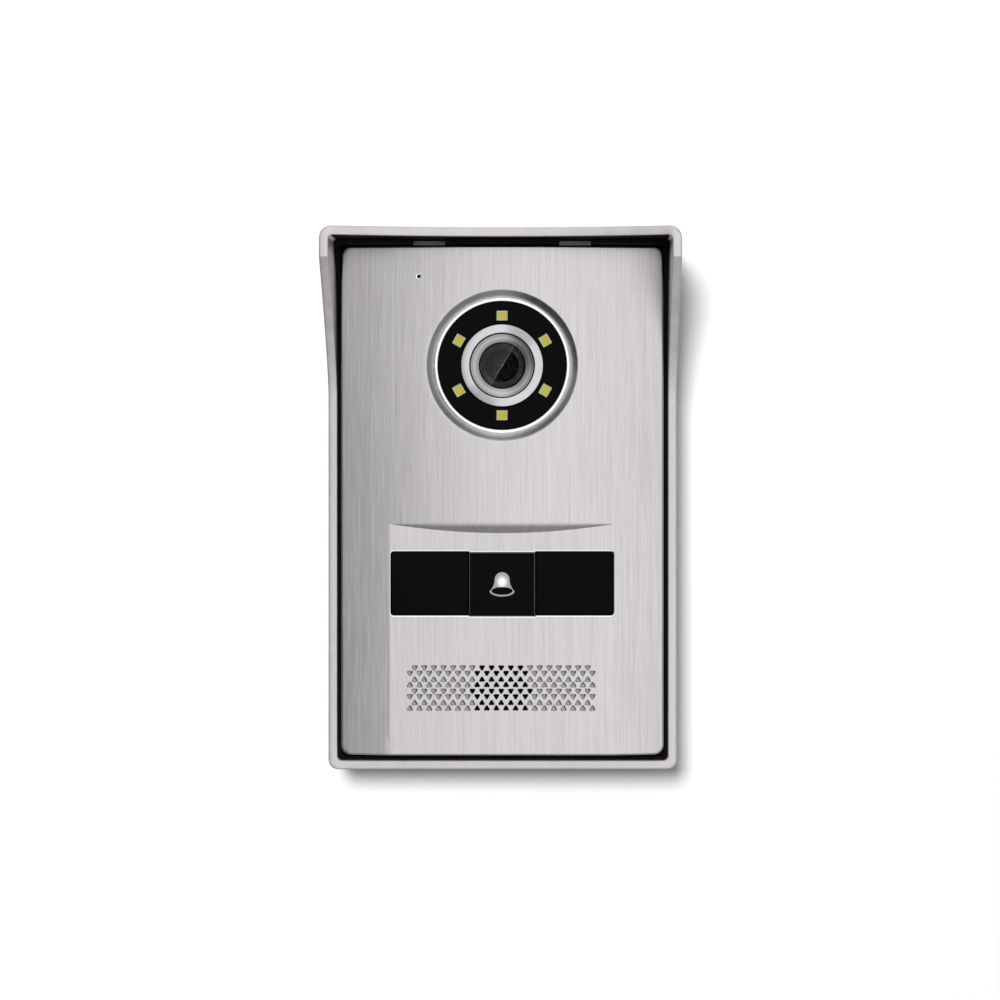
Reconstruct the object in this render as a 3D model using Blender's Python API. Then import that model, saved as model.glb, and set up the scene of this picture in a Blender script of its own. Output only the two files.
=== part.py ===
"""Door intercom panel under a rain hood, made as an assembly of separate pieces.

The hood's back face lies on the wall at Y = 0 and the panel looks along -Y, with +X to the right
of someone who faces it and +Z up. "Depth" below is a distance out from the wall, so Y = -depth.
The origin is the middle of the hood's back face. Everything is in metres.
"""
import math

import bmesh
import bpy

# ---------------------------------------------------------------- driving sizes
GAP = 0.0003                     # between pieces that rest on each other
PAST = 0.001                     # how far a cutter reaches past what it cuts

# Rain hood: a die-cast shell with a back plate and a visor over the top.
HOOD_WIDTH = 0.1160
HOOD_HEIGHT = 0.1785
HOOD_WALL = 0.0030
HOOD_BACK = 0.0025
HOOD_RIM_DEPTH = 0.0240          # plain part of the rim, beside and below the panel
VISOR_DEPTH = 0.0500             # the visor's two front corners
VISOR_SCOOP = 0.0066             # how far the visor's front edge is hollowed at its middle
VISOR_NOSE = 0.0100              # height of the straight front edge at each side
VISOR_FLANK = 0.0440             # height over which the side walls fall back to the rim
VISOR_CURVE = 1.30               # 1 is a straight flank, more is hollow
HOOD_TOP_RADIUS = 0.0040
HOOD_BOTTOM_RADIUS = 0.0032
HOOD_INNER_RADIUS = 0.0016

# Weather liner: a black ring between the hood and the station.
LINER_WALL = 0.0012
LINER_RIM_DEPTH = 0.0235
LINER_TOP_DEPTH = 0.0360
LINER_FADE = 0.0140              # height over which the liner's front edge falls back
LINER_LEDGE_BEHIND_PANEL = 0.0031
LINER_LEDGE_THICKNESS = 0.0014

# Front panel: a plate crowned about an upright axis.
PANEL_SIDE_GAP = 0.0018          # to the hood's side walls
PANEL_TOP_GAP = 0.00195
PANEL_BOTTOM_GAP = 0.00295
PANEL_RADIUS = 0.0030
PANEL_BACK_DEPTH = 0.0255
PANEL_CROWN_DEPTH = 0.0330
PANEL_CROWN_RADIUS = 0.3600
POCKET_HALF_WIDTH = 0.0370
POCKET_WALL_RUN = 1.60           # length of the pocket's upper wall for each unit of its height
POCKET_TOP_ABOVE_STRIP = 0.0196  # from the middle of the button strip up to the pocket's edge

# Camera, on the panel's upright centre line.
CAMERA_BELOW_TOP = 0.0393
CAMERA_HOLE_RADIUS = 0.0224
RECESS_RUN = 0.0025              # from the hole out to the edge of the dished recess
RECESS_DROP = 0.0018
CAMERA_TRIM_WALL = 0.0007
CAMERA_TRIM_PROUD = 0.0004
WINDOW_FRONT_DEPTH = 0.0310
WINDOW_THICKNESS = 0.0024
LED_COUNT = 6
LED_CIRCLE = 0.0164
LED_WIDTH = 0.0036
LED_HEIGHT = 0.0032
LED_BOARD_THICKNESS = 0.0010
LENS_TRIM_OUTER = 0.0135
LENS_TRIM_INNER = 0.0107
LENS_TRIM_PROUD = 0.0011
LENS_HEAD_RADIUS = 0.0074
LENS_THREAD_RADIUS = 0.0060
LENS_GLASS_RADIUS = 0.0049
LENS_FRONT_DEPTH = 0.0300
LENS_WELL = 0.0030               # depth of the seat that holds the front glass
LENS_DOME = 0.0010
LENS_MOUNT_SIDE = 0.0150
CAMERA_BOARD_SIDE = 0.0380
CAMERA_BOARD_OFF_FLOOR = 0.0027   # from the housing's floor to the camera board

# Button strip: two fixed windows with the call button between them.
STRIP_ABOVE_BOTTOM = 0.0566
STRIP_WIDTH = 0.0729
STRIP_HEIGHT = 0.0210
STRIP_RADIUS = 0.0011
STRIP_FRONT_DEPTH = 0.0310
STRIP_THICKNESS = 0.0024
BUTTON_WIDTH = 0.0216
BUTTON_SAG = 0.0003              # the cap hangs this far below the windows
BUTTON_PROUD = 0.0002
BUTTON_TRAVEL = 0.0005
CARRIER_MARGIN = 0.0026
CARRIER_THICKNESS = 0.0032
BELL_HEIGHT = 0.0080
BELL_MOUTH = 0.0082
BELL_INSET = 0.0010
LEG_WIDTH = 0.0060
LEG_THICKNESS = 0.0016
LEG_BARB = 0.0009
SWITCH_SIDE = 0.0062
SWITCH_HEIGHT = 0.0030
STEM_RADIUS = 0.0016

# Speaker and its grille.
SPEAKER_ABOVE_BOTTOM = 0.0222
GRILLE_SHIFT = -0.0003
GRILLE_PITCH = 0.00316
GRILLE_ROW_STEP = 0.00192
GRILLE_PAIR_STEP = 0.00007       # two rows that point one way lie closer to each other by this each
GRILLE_SIDE = 0.00176
GRILLE_OPEN_HOLES = (5, 6, 5, 6, 7, 6, 5, 6)
SPEAKER_RADIUS = 0.0160
SPEAKER_DEPTH = 0.0092
MESH_WIDTH = 0.0300
MESH_HEIGHT = 0.0200

# Microphone.
MIC_FROM_CENTRE = -0.0273
MIC_BELOW_TOP = 0.0101
MIC_HOLE_RADIUS = 0.00065
MIC_BOOT_RADIUS = 0.0042
MIC_CAPSULE_RADIUS = 0.0030

# Rear housing, its seal and the main board.
HOUSING_BACK_DEPTH = 0.0073
HOUSING_WALL = 0.0020
HOUSING_SIDE_INSET = 0.0030       # from the panel's edge to the housing
HOUSING_END_INSET = 0.0024
SEAL_WIDTH = 0.0016
SEAL_THICKNESS = 0.0010
BOSS_RADIUS = 0.0045
BOSS_INSET = 0.0074              # from the housing's outside to a screw's axis
BOARD_BEHIND_PANEL = 0.0083       # from the panel's back to the board's back
BOARD_THICKNESS = 0.0016
BOARD_EDGE = 0.0040              # from the housing's outside to the board
BOARD_BELOW_CAMERA = 0.0290
BOARD_BELOW_STRIP = 0.0153
POST_RADIUS = 0.0030
POST_INSET = 0.0040

# Wall bracket and the way in for the cable.
BRACKET_WIDTH = 0.0700
BRACKET_BELOW_TOP = 0.0160
BRACKET_ABOVE_BOTTOM = 0.0200
BRACKET_THICKNESS = 0.0014
HOOK_WIDTH = 0.0104
HOOK_SPACING = 0.0480
HOOK_REACH = 0.0305
CABLE_WIDTH = 0.0440
CABLE_HEIGHT = 0.0300
CABLE_TO_STRIP = 0.0023          # the entry's middle lies this far below the strip's
PORT_MARGIN = 0.0020             # the housing's port is this much smaller all round
WALL_SCREW_INSET = 0.0070

# Screws: head radius, head height, shank radius, and clearance round a shank.
SMALL_SCREW = (0.0026, 0.0020, 0.00125)
HOUSING_SCREW = (0.0027, 0.0023, 0.0015)
WALL_SCREW = (0.0036, 0.0022, 0.0020)
WALL_SCREW_LENGTH = 0.0040
LOCK_SCREW = (0.0024, 0.0018, 0.0014)
LOCK_DEPTH = 0.0140
SHANK_CLEARANCE = 0.00035

ROUND_STEPS = 32
SMALL_STEPS = 12
CORNER_STEPS = 4
SMOOTH_ANGLE = math.radians(35)

# ---------------------------------------------------------------- worked out from them
HALF_WIDTH = HOOD_WIDTH / 2
HALF_HEIGHT = HOOD_HEIGHT / 2
INNER_X = HALF_WIDTH - HOOD_WALL
INNER_Z = HALF_HEIGHT - HOOD_WALL
NOSE_Z = HALF_HEIGHT - VISOR_NOSE
RIM_Z = NOSE_Z - VISOR_FLANK

PANEL_X = INNER_X - PANEL_SIDE_GAP
PANEL_TOP = INNER_Z - PANEL_TOP_GAP
PANEL_BOTTOM = -INNER_Z + PANEL_BOTTOM_GAP
PANEL_HEIGHT = PANEL_TOP - PANEL_BOTTOM
PANEL_Z = (PANEL_TOP + PANEL_BOTTOM) / 2
POCKET_DEPTH = PANEL_CROWN_DEPTH - POCKET_HALF_WIDTH ** 2 / (2 * PANEL_CROWN_RADIUS)

CAMERA_Z = PANEL_TOP - CAMERA_BELOW_TOP
STRIP_Z = PANEL_BOTTOM + STRIP_ABOVE_BOTTOM
SPEAKER_Z = PANEL_BOTTOM + SPEAKER_ABOVE_BOTTOM
POCKET_TOP = STRIP_Z + POCKET_TOP_ABOVE_STRIP
MIC_Z = PANEL_TOP - MIC_BELOW_TOP
CABLE_Z = STRIP_Z - CABLE_TO_STRIP

LINER_X = INNER_X - GAP
LINER_Z = INNER_Z - GAP
LINER_INNER_X = LINER_X - LINER_WALL
LINER_INNER_Z = LINER_Z - LINER_WALL
HOUSING_X = PANEL_X - HOUSING_SIDE_INSET
HOUSING_Z = min(PANEL_TOP, -PANEL_BOTTOM) - HOUSING_END_INSET
HOUSING_FRONT_DEPTH = PANEL_BACK_DEPTH - 2 * GAP - SEAL_THICKNESS
HOUSING_FLOOR = HOUSING_BACK_DEPTH + HOUSING_WALL
BOARD_DEPTH = PANEL_BACK_DEPTH - BOARD_BEHIND_PANEL
BOARD_FRONT = BOARD_DEPTH + BOARD_THICKNESS
BEHIND_PANEL = PANEL_BACK_DEPTH - GAP
CARRIER_DEPTH = BEHIND_PANEL - CARRIER_THICKNESS
LINER_LEDGE_DEPTH = PANEL_BACK_DEPTH - LINER_LEDGE_BEHIND_PANEL
CAMERA_BOARD_DEPTH = HOUSING_FLOOR + CAMERA_BOARD_OFF_FLOOR
BUTTON_Z = STRIP_Z - BUTTON_SAG
BUTTON_HEIGHT = STRIP_HEIGHT
BUTTON_FRONT = STRIP_FRONT_DEPTH + BUTTON_PROUD

MATERIALS = {}


# ---------------------------------------------------------------- tools
def material(name, colour, roughness, metallic=0.0):
    """One Principled material, made the first time it is asked for."""
    if name not in MATERIALS:
        made = bpy.data.materials.new(name)
        made.use_nodes = True
        shader = made.node_tree.nodes["Principled BSDF"]
        shader.inputs["Base Color"].default_value = (*colour, 1.0)
        shader.inputs["Roughness"].default_value = roughness
        shader.inputs["Metallic"].default_value = metallic
        MATERIALS[name] = made
    return MATERIALS[name]


def skin(rings):
    """Join equal rings of points into one closed skin with a cap at each end."""
    shape = bmesh.new()
    made = [[shape.verts.new(point) for point in ring] for ring in rings]
    for near, far in zip(made, made[1:]):
        for index in range(len(near)):
            after = (index + 1) % len(near)
            shape.faces.new((near[index], near[after], far[after], far[index]))
    shape.faces.new(made[0])
    shape.faces.new(made[-1])
    bmesh.ops.recalc_face_normals(shape, faces=shape.faces)
    return shape


def prism(outline, back, front):
    """A solid with this outline in X and Z, between two depths."""
    return skin([[(x, -depth, z) for x, z in outline] for depth in (back, front)])


def bar_along_x(outline, low, high):
    """A solid with this outline in Z and depth, between two places in X."""
    return skin([[(x, -depth, z) for z, depth in outline] for x in (low, high)])


def bar_along_z(outline, low, high):
    """A solid with this outline in X and depth, between two heights."""
    return skin([[(x, -depth, z) for x, depth in outline] for z in (low, high)])


def block(x, z, width, height, back, front):
    """A plain box by its middle in X and Z, and two depths."""
    return prism(rectangle(x, z, width, height), back, front)


def turned(profile, x, z, steps=ROUND_STEPS, phase=0.0):
    """Turn a closed profile of (radius, depth) about an axis out of the wall; phase shifts its facets."""
    shape = bmesh.new()
    rings = []
    for radius, depth in profile:
        if radius == 0:
            rings.append([shape.verts.new((x, -depth, z))])
            continue
        ring = []
        for step in range(steps):
            angle = 2 * math.pi * (step + phase) / steps
            side, rise = radius * math.cos(angle), radius * math.sin(angle)
            ring.append(shape.verts.new((x + side, -depth, z + rise)))
        rings.append(ring)
    for near, far in zip(rings, rings[1:] + rings[:1]):
        if len(near) == 1 and len(far) == 1:
            continue
        for step in range(steps):
            after = (step + 1) % steps
            corners = [near[step % len(near)], near[after % len(near)]]
            corners += [far[after % len(far)], far[step % len(far)]]
            shape.faces.new(list(dict.fromkeys(corners)))
    bmesh.ops.recalc_face_normals(shape, faces=shape.faces)
    return shape


def cylinder(x, z, radius, back, front, steps=SMALL_STEPS, phase=0.0):
    """A plain round bar that points out of the wall."""
    return turned([(0, back), (radius, back), (radius, front), (0, front)], x, z, steps, phase)


def rectangle(x, z, width, height):
    """Corners of a rectangle in X and Z."""
    left, right = x - width / 2, x + width / 2
    low, high = z - height / 2, z + height / 2
    return [(left, low), (right, low), (right, high), (left, high)]


def rounded(x, z, width, height, top_radius, bottom_radius=None, steps=CORNER_STEPS):
    """A rectangle in X and Z with round corners, which may differ at its top and bottom."""
    bottom_radius = top_radius if bottom_radius is None else bottom_radius
    corners = [(1, -1, bottom_radius, -90), (1, 1, top_radius, 0)]
    corners += [(-1, 1, top_radius, 90), (-1, -1, bottom_radius, 180)]
    points = []
    for side, rise, radius, start in corners:
        middle_x = x + side * (width / 2 - radius)
        middle_z = z + rise * (height / 2 - radius)
        for step in range(steps + 1):
            angle = math.radians(start + 90 * step / steps)
            points.append((middle_x + radius * math.cos(angle), middle_z + radius * math.sin(angle)))
    return points


def as_object(name, shape, finish=None):
    """Give a shape its object and its material."""
    mesh = bpy.data.meshes.new(name)
    shape.to_mesh(mesh)
    shape.free()
    made = bpy.data.objects.new(name, mesh)
    bpy.context.scene.collection.objects.link(made)
    if finish:
        mesh.materials.append(finish)
        mesh.shade_smooth()
        mesh.set_sharp_from_angle(angle=SMOOTH_ANGLE)
    return made


def work_on(target, operation, *shapes):
    """Cut shapes from an object, or join them to it, with one hidden helper for each call."""
    helper_shape = bmesh.new()
    for shape in shapes:
        part = bpy.data.meshes.new("helper_part")
        shape.to_mesh(part)
        shape.free()
        helper_shape.from_mesh(part)
        bpy.data.meshes.remove(part)
    helper = as_object(f"{target.name}_{operation.lower()}_{len(target.modifiers)}", helper_shape)
    helper.hide_render = True
    helper.display_type = "WIRE"
    change = target.modifiers.new(operation.title(), "BOOLEAN")
    change.operation = operation
    change.object = helper
    return target


def cut(target, *shapes):
    """Take shapes that don't touch each other out of an object."""
    return work_on(target, "DIFFERENCE", *shapes)


def join(target, *shapes):
    """Add shapes that don't touch each other to an object."""
    return work_on(target, "UNION", *shapes)


# ---------------------------------------------------------------- curves that pieces share
def hood_front(z):
    """Depth of the hood's front edge at a height, on its side walls."""
    share = min(max((z - RIM_Z) / VISOR_FLANK, 0.0), 1.0)
    return HOOD_RIM_DEPTH + (VISOR_DEPTH - HOOD_RIM_DEPTH) * share ** VISOR_CURVE


def visor_front(x):
    """Depth of the visor's front edge across its top."""
    share = min(abs(x) / INNER_X, 1.0)
    return VISOR_DEPTH - VISOR_SCOOP * (1 - share ** 2)


def liner_front(z):
    """Depth of the liner's front edge at a height."""
    return LINER_RIM_DEPTH + (LINER_TOP_DEPTH - LINER_RIM_DEPTH) * math.exp((z - LINER_Z) / LINER_FADE)


def crown(x):
    """Depth of the panel's front at a distance from its centre line."""
    return PANEL_CROWN_DEPTH - x ** 2 / (2 * PANEL_CROWN_RADIUS)


def spread(low, high, count):
    """Evenly spaced values from low to high, both included."""
    return [low + (high - low) * step / (count - 1) for step in range(count)]


# ---------------------------------------------------------------- hood, liner and bracket
def screw_hole(x, z, screw, back, front):
    """A clearance hole for a screw's shank."""
    return cylinder(x, z, screw[2] + SHANK_CLEARANCE, back, front, phase=0.5)


def sunk_hole(x, z, screw, back, seat, front):
    """A clearance hole for a shank, with room for the screw's head as far in as its seat."""
    head = screw[0] + GAP
    shank = screw[2] + SHANK_CLEARANCE
    profile = [(0, back), (head, back), (head, seat), (shank, seat), (shank, front), (0, front)]
    return turned(profile, x, z, SMALL_STEPS, phase=0.5)


def wall_screw_places():
    """The four screws that hold the bracket and the hood on the wall."""
    top, bottom = bracket_ends()
    across = BRACKET_WIDTH / 2 - WALL_SCREW_INSET
    heights = (top - WALL_SCREW_INSET, bottom + WALL_SCREW_INSET)
    return [(side * across, z) for z in heights for side in (-1, 1)]


def bracket_ends():
    """Top and bottom of the bracket's plate."""
    return INNER_Z - BRACKET_BELOW_TOP, -INNER_Z + BRACKET_ABOVE_BOTTOM


def upright_circle(x, depth, radius, steps):
    """Points round an upright axis, as (X, Y)."""
    angles = [2 * math.pi * step / steps for step in range(steps)]
    return [(x + radius * math.cos(angle), -depth + radius * math.sin(angle)) for angle in angles]


def vertical_cylinder(x, depth, radius, low, high, steps=SMALL_STEPS):
    """A round bar that stands upright."""
    outline = [(across, -y) for across, y in upright_circle(x, depth, radius, steps)]
    return bar_along_z(outline, low, high)


def lock_hole(low, high):
    """The upright clearance hole for the locking screw."""
    return vertical_cylinder(0, LOCK_DEPTH, LOCK_SCREW[2] + SHANK_CLEARANCE, low, high)


def make_hood():
    silver = material("hood_paint", (0.60, 0.60, 0.61), 0.42, 0.85)
    far = VISOR_DEPTH + 0.01
    outline = rounded(0, 0, HOOD_WIDTH, HOOD_HEIGHT, HOOD_TOP_RADIUS, HOOD_BOTTOM_RADIUS)
    hood = as_object("rain_hood", prism(outline, 0, VISOR_DEPTH), silver)
    inside = rounded(0, 0, 2 * INNER_X, 2 * INNER_Z, HOOD_INNER_RADIUS)
    cut(hood, prism(inside, HOOD_BACK, far))
    edge = [(z, hood_front(z)) for z in spread(NOSE_Z, RIM_Z, 12)]
    below = [(-HALF_HEIGHT - 0.01, HOOD_RIM_DEPTH), (-HALF_HEIGHT - 0.01, far), (NOSE_Z, far)]
    cut(hood, bar_along_x(edge + below, -HALF_WIDTH - 0.01, HALF_WIDTH + 0.01))
    scoop = [(x, visor_front(x)) for x in spread(-INNER_X, INNER_X, 15)]
    cut(hood, bar_along_z(scoop + [(INNER_X, far), (-INNER_X, far)], NOSE_Z, HALF_HEIGHT + 0.01))
    openings = [screw_hole(x, z, WALL_SCREW, -PAST, HOOD_BACK + PAST) for x, z in wall_screw_places()]
    openings.append(block(0, CABLE_Z, CABLE_WIDTH, CABLE_HEIGHT, -PAST, HOOD_BACK + PAST))
    cut(hood, *openings)
    cut(hood, lock_hole(-HALF_HEIGHT - PAST, -INNER_Z + PAST))
    head_room = vertical_cylinder(0, LOCK_DEPTH, LOCK_SCREW[0] + GAP, -HALF_HEIGHT - PAST,
                                  -HALF_HEIGHT + LOCK_SCREW[1] + 2 * GAP)
    cut(hood, head_room)


def make_liner():
    black = material("liner_rubber", (0.012, 0.012, 0.013), 0.62)
    front = LINER_TOP_DEPTH + 0.004
    liner = as_object("weather_liner", prism(rounded(0, 0, 2 * LINER_X, 2 * LINER_Z, HOOD_INNER_RADIUS - GAP),
                                             HOOD_BACK + GAP, front), black)
    walls = rounded(0, 0, 2 * LINER_INNER_X, 2 * LINER_INNER_Z, 0.0008)
    ledge_back = LINER_LEDGE_DEPTH - LINER_LEDGE_THICKNESS
    cut(liner, prism(walls, 0, ledge_back), prism(walls, LINER_LEDGE_DEPTH, front + 0.01))
    hole = rounded(0, 0, 2 * (HOUSING_X + GAP), 2 * (HOUSING_Z + GAP), 0.0020)
    cut(liner, prism(hole, 0, front))
    edge = [(z, liner_front(z)) for z in spread(LINER_Z + 0.002, -LINER_Z - 0.002, 18)]
    cut(liner, bar_along_x(edge + [(-LINER_Z - 0.002, front + 0.01), (LINER_Z + 0.002, front + 0.01)],
                           -HALF_WIDTH, HALF_WIDTH))
    for side in (-1, 1):
        notch = HOOK_WIDTH + 2 * GAP
        cut(liner, block(side * HOOK_SPACING / 2, HALF_HEIGHT, notch, 2 * (HALF_HEIGHT - hook_bottom() + GAP),
                         -PAST, front + 0.002))
    cut(liner, lock_hole(-HALF_HEIGHT, -LINER_INNER_Z + PAST))


def hook_bottom():
    """Height of a hook's lower face."""
    return LINER_Z - BRACKET_THICKNESS


def make_bracket():
    steel = material("zinc_plate", (0.30, 0.30, 0.31), 0.45, 0.9)
    top, bottom = bracket_ends()
    back = HOOD_BACK + GAP
    front = back + BRACKET_THICKNESS
    plate = prism(rounded(0, (top + bottom) / 2, BRACKET_WIDTH, top - bottom, 0.0030), back, front)
    bracket = as_object("wall_bracket", plate, steel)
    hooks = []
    for side in (-1, 1):
        section = [(top - 0.004, back), (LINER_Z, back), (LINER_Z, HOOK_REACH), (hook_bottom(), HOOK_REACH),
                   (hook_bottom(), front), (top - 0.004, front - 0.0001)]
        middle = side * HOOK_SPACING / 2
        hooks.append(bar_along_x(section, middle - HOOK_WIDTH / 2, middle + HOOK_WIDTH / 2))
    join(bracket, *hooks)
    openings = [screw_hole(x, z, WALL_SCREW, 0, front + PAST) for x, z in wall_screw_places()]
    openings.append(block(0, CABLE_Z, CABLE_WIDTH, CABLE_HEIGHT, 0, front + PAST))
    cut(bracket, *openings)


# ---------------------------------------------------------------- panel and housing
def housing_screw_places():
    """The four long screws that hold the housing to the panel."""
    x = HOUSING_X - BOSS_INSET
    z = HOUSING_Z - BOSS_INSET
    return [(side * x, rise * z) for rise in (-1, 1) for side in (-1, 1)]


def rounded_triangle(x, z, points_up):
    """A small triangle with cut corners and a level base, by the middle of its height."""
    turn = 90 if points_up else -90
    radius = GRILLE_SIDE / math.sqrt(3)
    z += -radius / 4 if points_up else radius / 4
    points = []
    for corner in range(3):
        angle = math.radians(turn + 120 * corner)
        for side in (-1, 1):
            near = angle + side * math.radians(14)
            points.append((x + 0.92 * radius * math.cos(near), z + 0.92 * radius * math.sin(near)))
    return points


def grille_holes():
    """The triangles that go through the panel, row by row from the top."""
    holes = []
    rows = len(GRILLE_OPEN_HOLES)
    for row, count in enumerate(GRILLE_OPEN_HOLES):
        z = SPEAKER_Z + ((rows - 1) / 2 - row) * GRILLE_ROW_STEP
        z += GRILLE_PAIR_STEP if row % 2 else -GRILLE_PAIR_STEP
        points_up = row // 2 % 2 == 1
        for column in range(count):
            x = GRILLE_SHIFT + (column - (count - 1) / 2) * GRILLE_PITCH
            outline = rounded_triangle(x, z, points_up)
            holes.append(prism(outline, PANEL_BACK_DEPTH - PAST, POCKET_DEPTH + PAST))
    return holes


def pocket_cutter():
    """What is milled away below the panel's middle: a flat, with a slanted wall at its top end."""
    lift = 0.0060
    low = PANEL_BOTTOM - 0.002
    rings = []
    for x in spread(-POCKET_HALF_WIDTH - 0.0013, POCKET_HALF_WIDTH + 0.0013, 17):
        foot = POCKET_TOP - POCKET_WALL_RUN * (crown(x) - POCKET_DEPTH)
        wall_top = foot + POCKET_WALL_RUN * lift
        rings.append([(x, -POCKET_DEPTH, low), (x, -POCKET_DEPTH, foot),
                      (x, -POCKET_DEPTH - lift, wall_top), (x, -POCKET_DEPTH - lift, low)])
    return skin(rings)


def make_panel():
    aluminium = material("brushed_aluminium", (0.62, 0.62, 0.63), 0.35, 1.0)
    front = [(x, crown(x)) for x in spread(PANEL_X + 0.002, -PANEL_X - 0.002, 17)]
    section = [(-PANEL_X - 0.002, PANEL_BACK_DEPTH), (PANEL_X + 0.002, PANEL_BACK_DEPTH)] + front
    panel = as_object("front_panel", bar_along_z(section, PANEL_BOTTOM - 0.002, PANEL_TOP + 0.002), aluminium)
    outline = rounded(0, PANEL_Z, 2 * PANEL_X, PANEL_HEIGHT, PANEL_RADIUS)
    work_on(panel, "INTERSECT", prism(outline, PANEL_BACK_DEPTH - 0.002, PANEL_CROWN_DEPTH + 0.002))
    cut(panel, pocket_cutter())
    floor = PANEL_CROWN_DEPTH - RECESS_DROP
    above = 0.0012
    mouth = CAMERA_HOLE_RADIUS + RECESS_RUN * (1 + above / RECESS_DROP)
    cone = [(0, PANEL_BACK_DEPTH - PAST), (CAMERA_HOLE_RADIUS, PANEL_BACK_DEPTH - PAST),
            (CAMERA_HOLE_RADIUS, floor), (mouth, PANEL_CROWN_DEPTH + above), (0, PANEL_CROWN_DEPTH + above)]
    cut(panel, turned(cone, 0, CAMERA_Z))
    window = rounded(0, STRIP_Z, STRIP_WIDTH + 2 * GAP, STRIP_HEIGHT + 2 * GAP + 2 * BUTTON_SAG, STRIP_RADIUS)
    behind = PANEL_BACK_DEPTH - PAST
    through = [prism(window, behind, POCKET_DEPTH + PAST)]
    through.append(cylinder(MIC_FROM_CENTRE, MIC_Z, MIC_HOLE_RADIUS, behind, PANEL_CROWN_DEPTH, 8))
    through += grille_holes()
    cut(panel, *through)
    blind_end = PANEL_BACK_DEPTH + 0.0032
    blind = [screw_hole(x, z, HOUSING_SCREW, behind, blind_end) for x, z in housing_screw_places()]
    cut(panel, *blind)


def post_places():
    """The four posts and screws that carry the main board."""
    x = board_half_width() - POST_INSET
    top, bottom = board_ends()
    return [(side * x, z) for z in (top - POST_INSET, bottom + POST_INSET) for side in (-1, 1)]


def board_half_width():
    """Half the main board's width."""
    return HOUSING_X - BOARD_EDGE


def board_ends():
    """Top and bottom of the main board."""
    return CAMERA_Z - BOARD_BELOW_CAMERA, STRIP_Z - BOARD_BELOW_STRIP


def make_housing():
    black = material("housing_plastic", (0.02, 0.02, 0.022), 0.55)
    outline = rounded(0, 0, 2 * HOUSING_X, 2 * HOUSING_Z, 0.0020)
    housing = as_object("rear_housing", prism(outline, HOUSING_BACK_DEPTH, HOUSING_FRONT_DEPTH), black)
    hollow = rounded(0, 0, 2 * (HOUSING_X - HOUSING_WALL), 2 * (HOUSING_Z - HOUSING_WALL), 0.0010)
    cut(housing, prism(hollow, HOUSING_FLOOR, HOUSING_FRONT_DEPTH + 0.01))
    bosses = [cylinder(x, z, BOSS_RADIUS, HOUSING_FLOOR - PAST, HOUSING_FRONT_DEPTH - 0.0004)
              for x, z in housing_screw_places()]
    posts = [cylinder(x, z, POST_RADIUS, HOUSING_FLOOR - PAST, BOARD_DEPTH - GAP) for x, z in post_places()]
    join(housing, *bosses, *posts)
    seat = housing_head_depth() + HOUSING_SCREW[1] + GAP
    through = HOUSING_FRONT_DEPTH + 0.01
    openings = [sunk_hole(x, z, HOUSING_SCREW, 0, seat, through) for x, z in housing_screw_places()]
    openings += [screw_hole(x, z, SMALL_SCREW, HOUSING_FLOOR + 0.0006, BOARD_FRONT) for x, z in post_places()]
    openings.append(block(0, CABLE_Z, CABLE_WIDTH - 2 * PORT_MARGIN, CABLE_HEIGHT - 2 * PORT_MARGIN,
                          0, HOUSING_FLOOR + PAST))
    cut(housing, *openings)
    cut(housing, lock_hole(-HOUSING_Z - PAST, -HOUSING_Z + HOUSING_WALL + PAST))


def housing_head_depth():
    """Depth of the back of a housing screw's head, sunk in its boss."""
    return HOUSING_BACK_DEPTH + 0.0004


def make_seal():
    rubber = material("seal_rubber", (0.03, 0.03, 0.03), 0.8)
    back = HOUSING_FRONT_DEPTH + GAP
    seal = as_object("panel_seal", prism(rounded(0, 0, 2 * HOUSING_X, 2 * HOUSING_Z, 0.0020),
                                         back, back + SEAL_THICKNESS), rubber)
    inner = rounded(0, 0, 2 * (HOUSING_X - SEAL_WIDTH), 2 * (HOUSING_Z - SEAL_WIDTH), 0.0010)
    cut(seal, prism(inner, back - PAST, back + SEAL_THICKNESS + PAST))


# ---------------------------------------------------------------- camera
def camera_trim_outer():
    """Outer radius of the bright ring round the camera window."""
    return CAMERA_HOLE_RADIUS - GAP


def window_radius():
    """Outer radius of the camera's black window."""
    return camera_trim_outer() - CAMERA_TRIM_WALL - GAP


def led_turns():
    """Angles of the lamps round the lens, the first at the top."""
    return [math.pi / 2 + 2 * math.pi * index / LED_COUNT for index in range(LED_COUNT)]


def led_outline(angle, margin=0.0):
    """Outline of one lamp, turned so that its height runs along the radius."""
    middle = (LED_CIRCLE * math.cos(angle), CAMERA_Z + LED_CIRCLE * math.sin(angle))
    along = (math.cos(angle), math.sin(angle))
    half_height = LED_HEIGHT / 2 + margin
    half_width = LED_WIDTH / 2 + margin
    points = []
    for side, rise in ((-1, -1), (1, -1), (1, 1), (-1, 1)):
        x = middle[0] + rise * half_height * along[0] + side * half_width * along[1]
        z = middle[1] + rise * half_height * along[1] - side * half_width * along[0]
        points.append((x, z))
    return points


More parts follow.
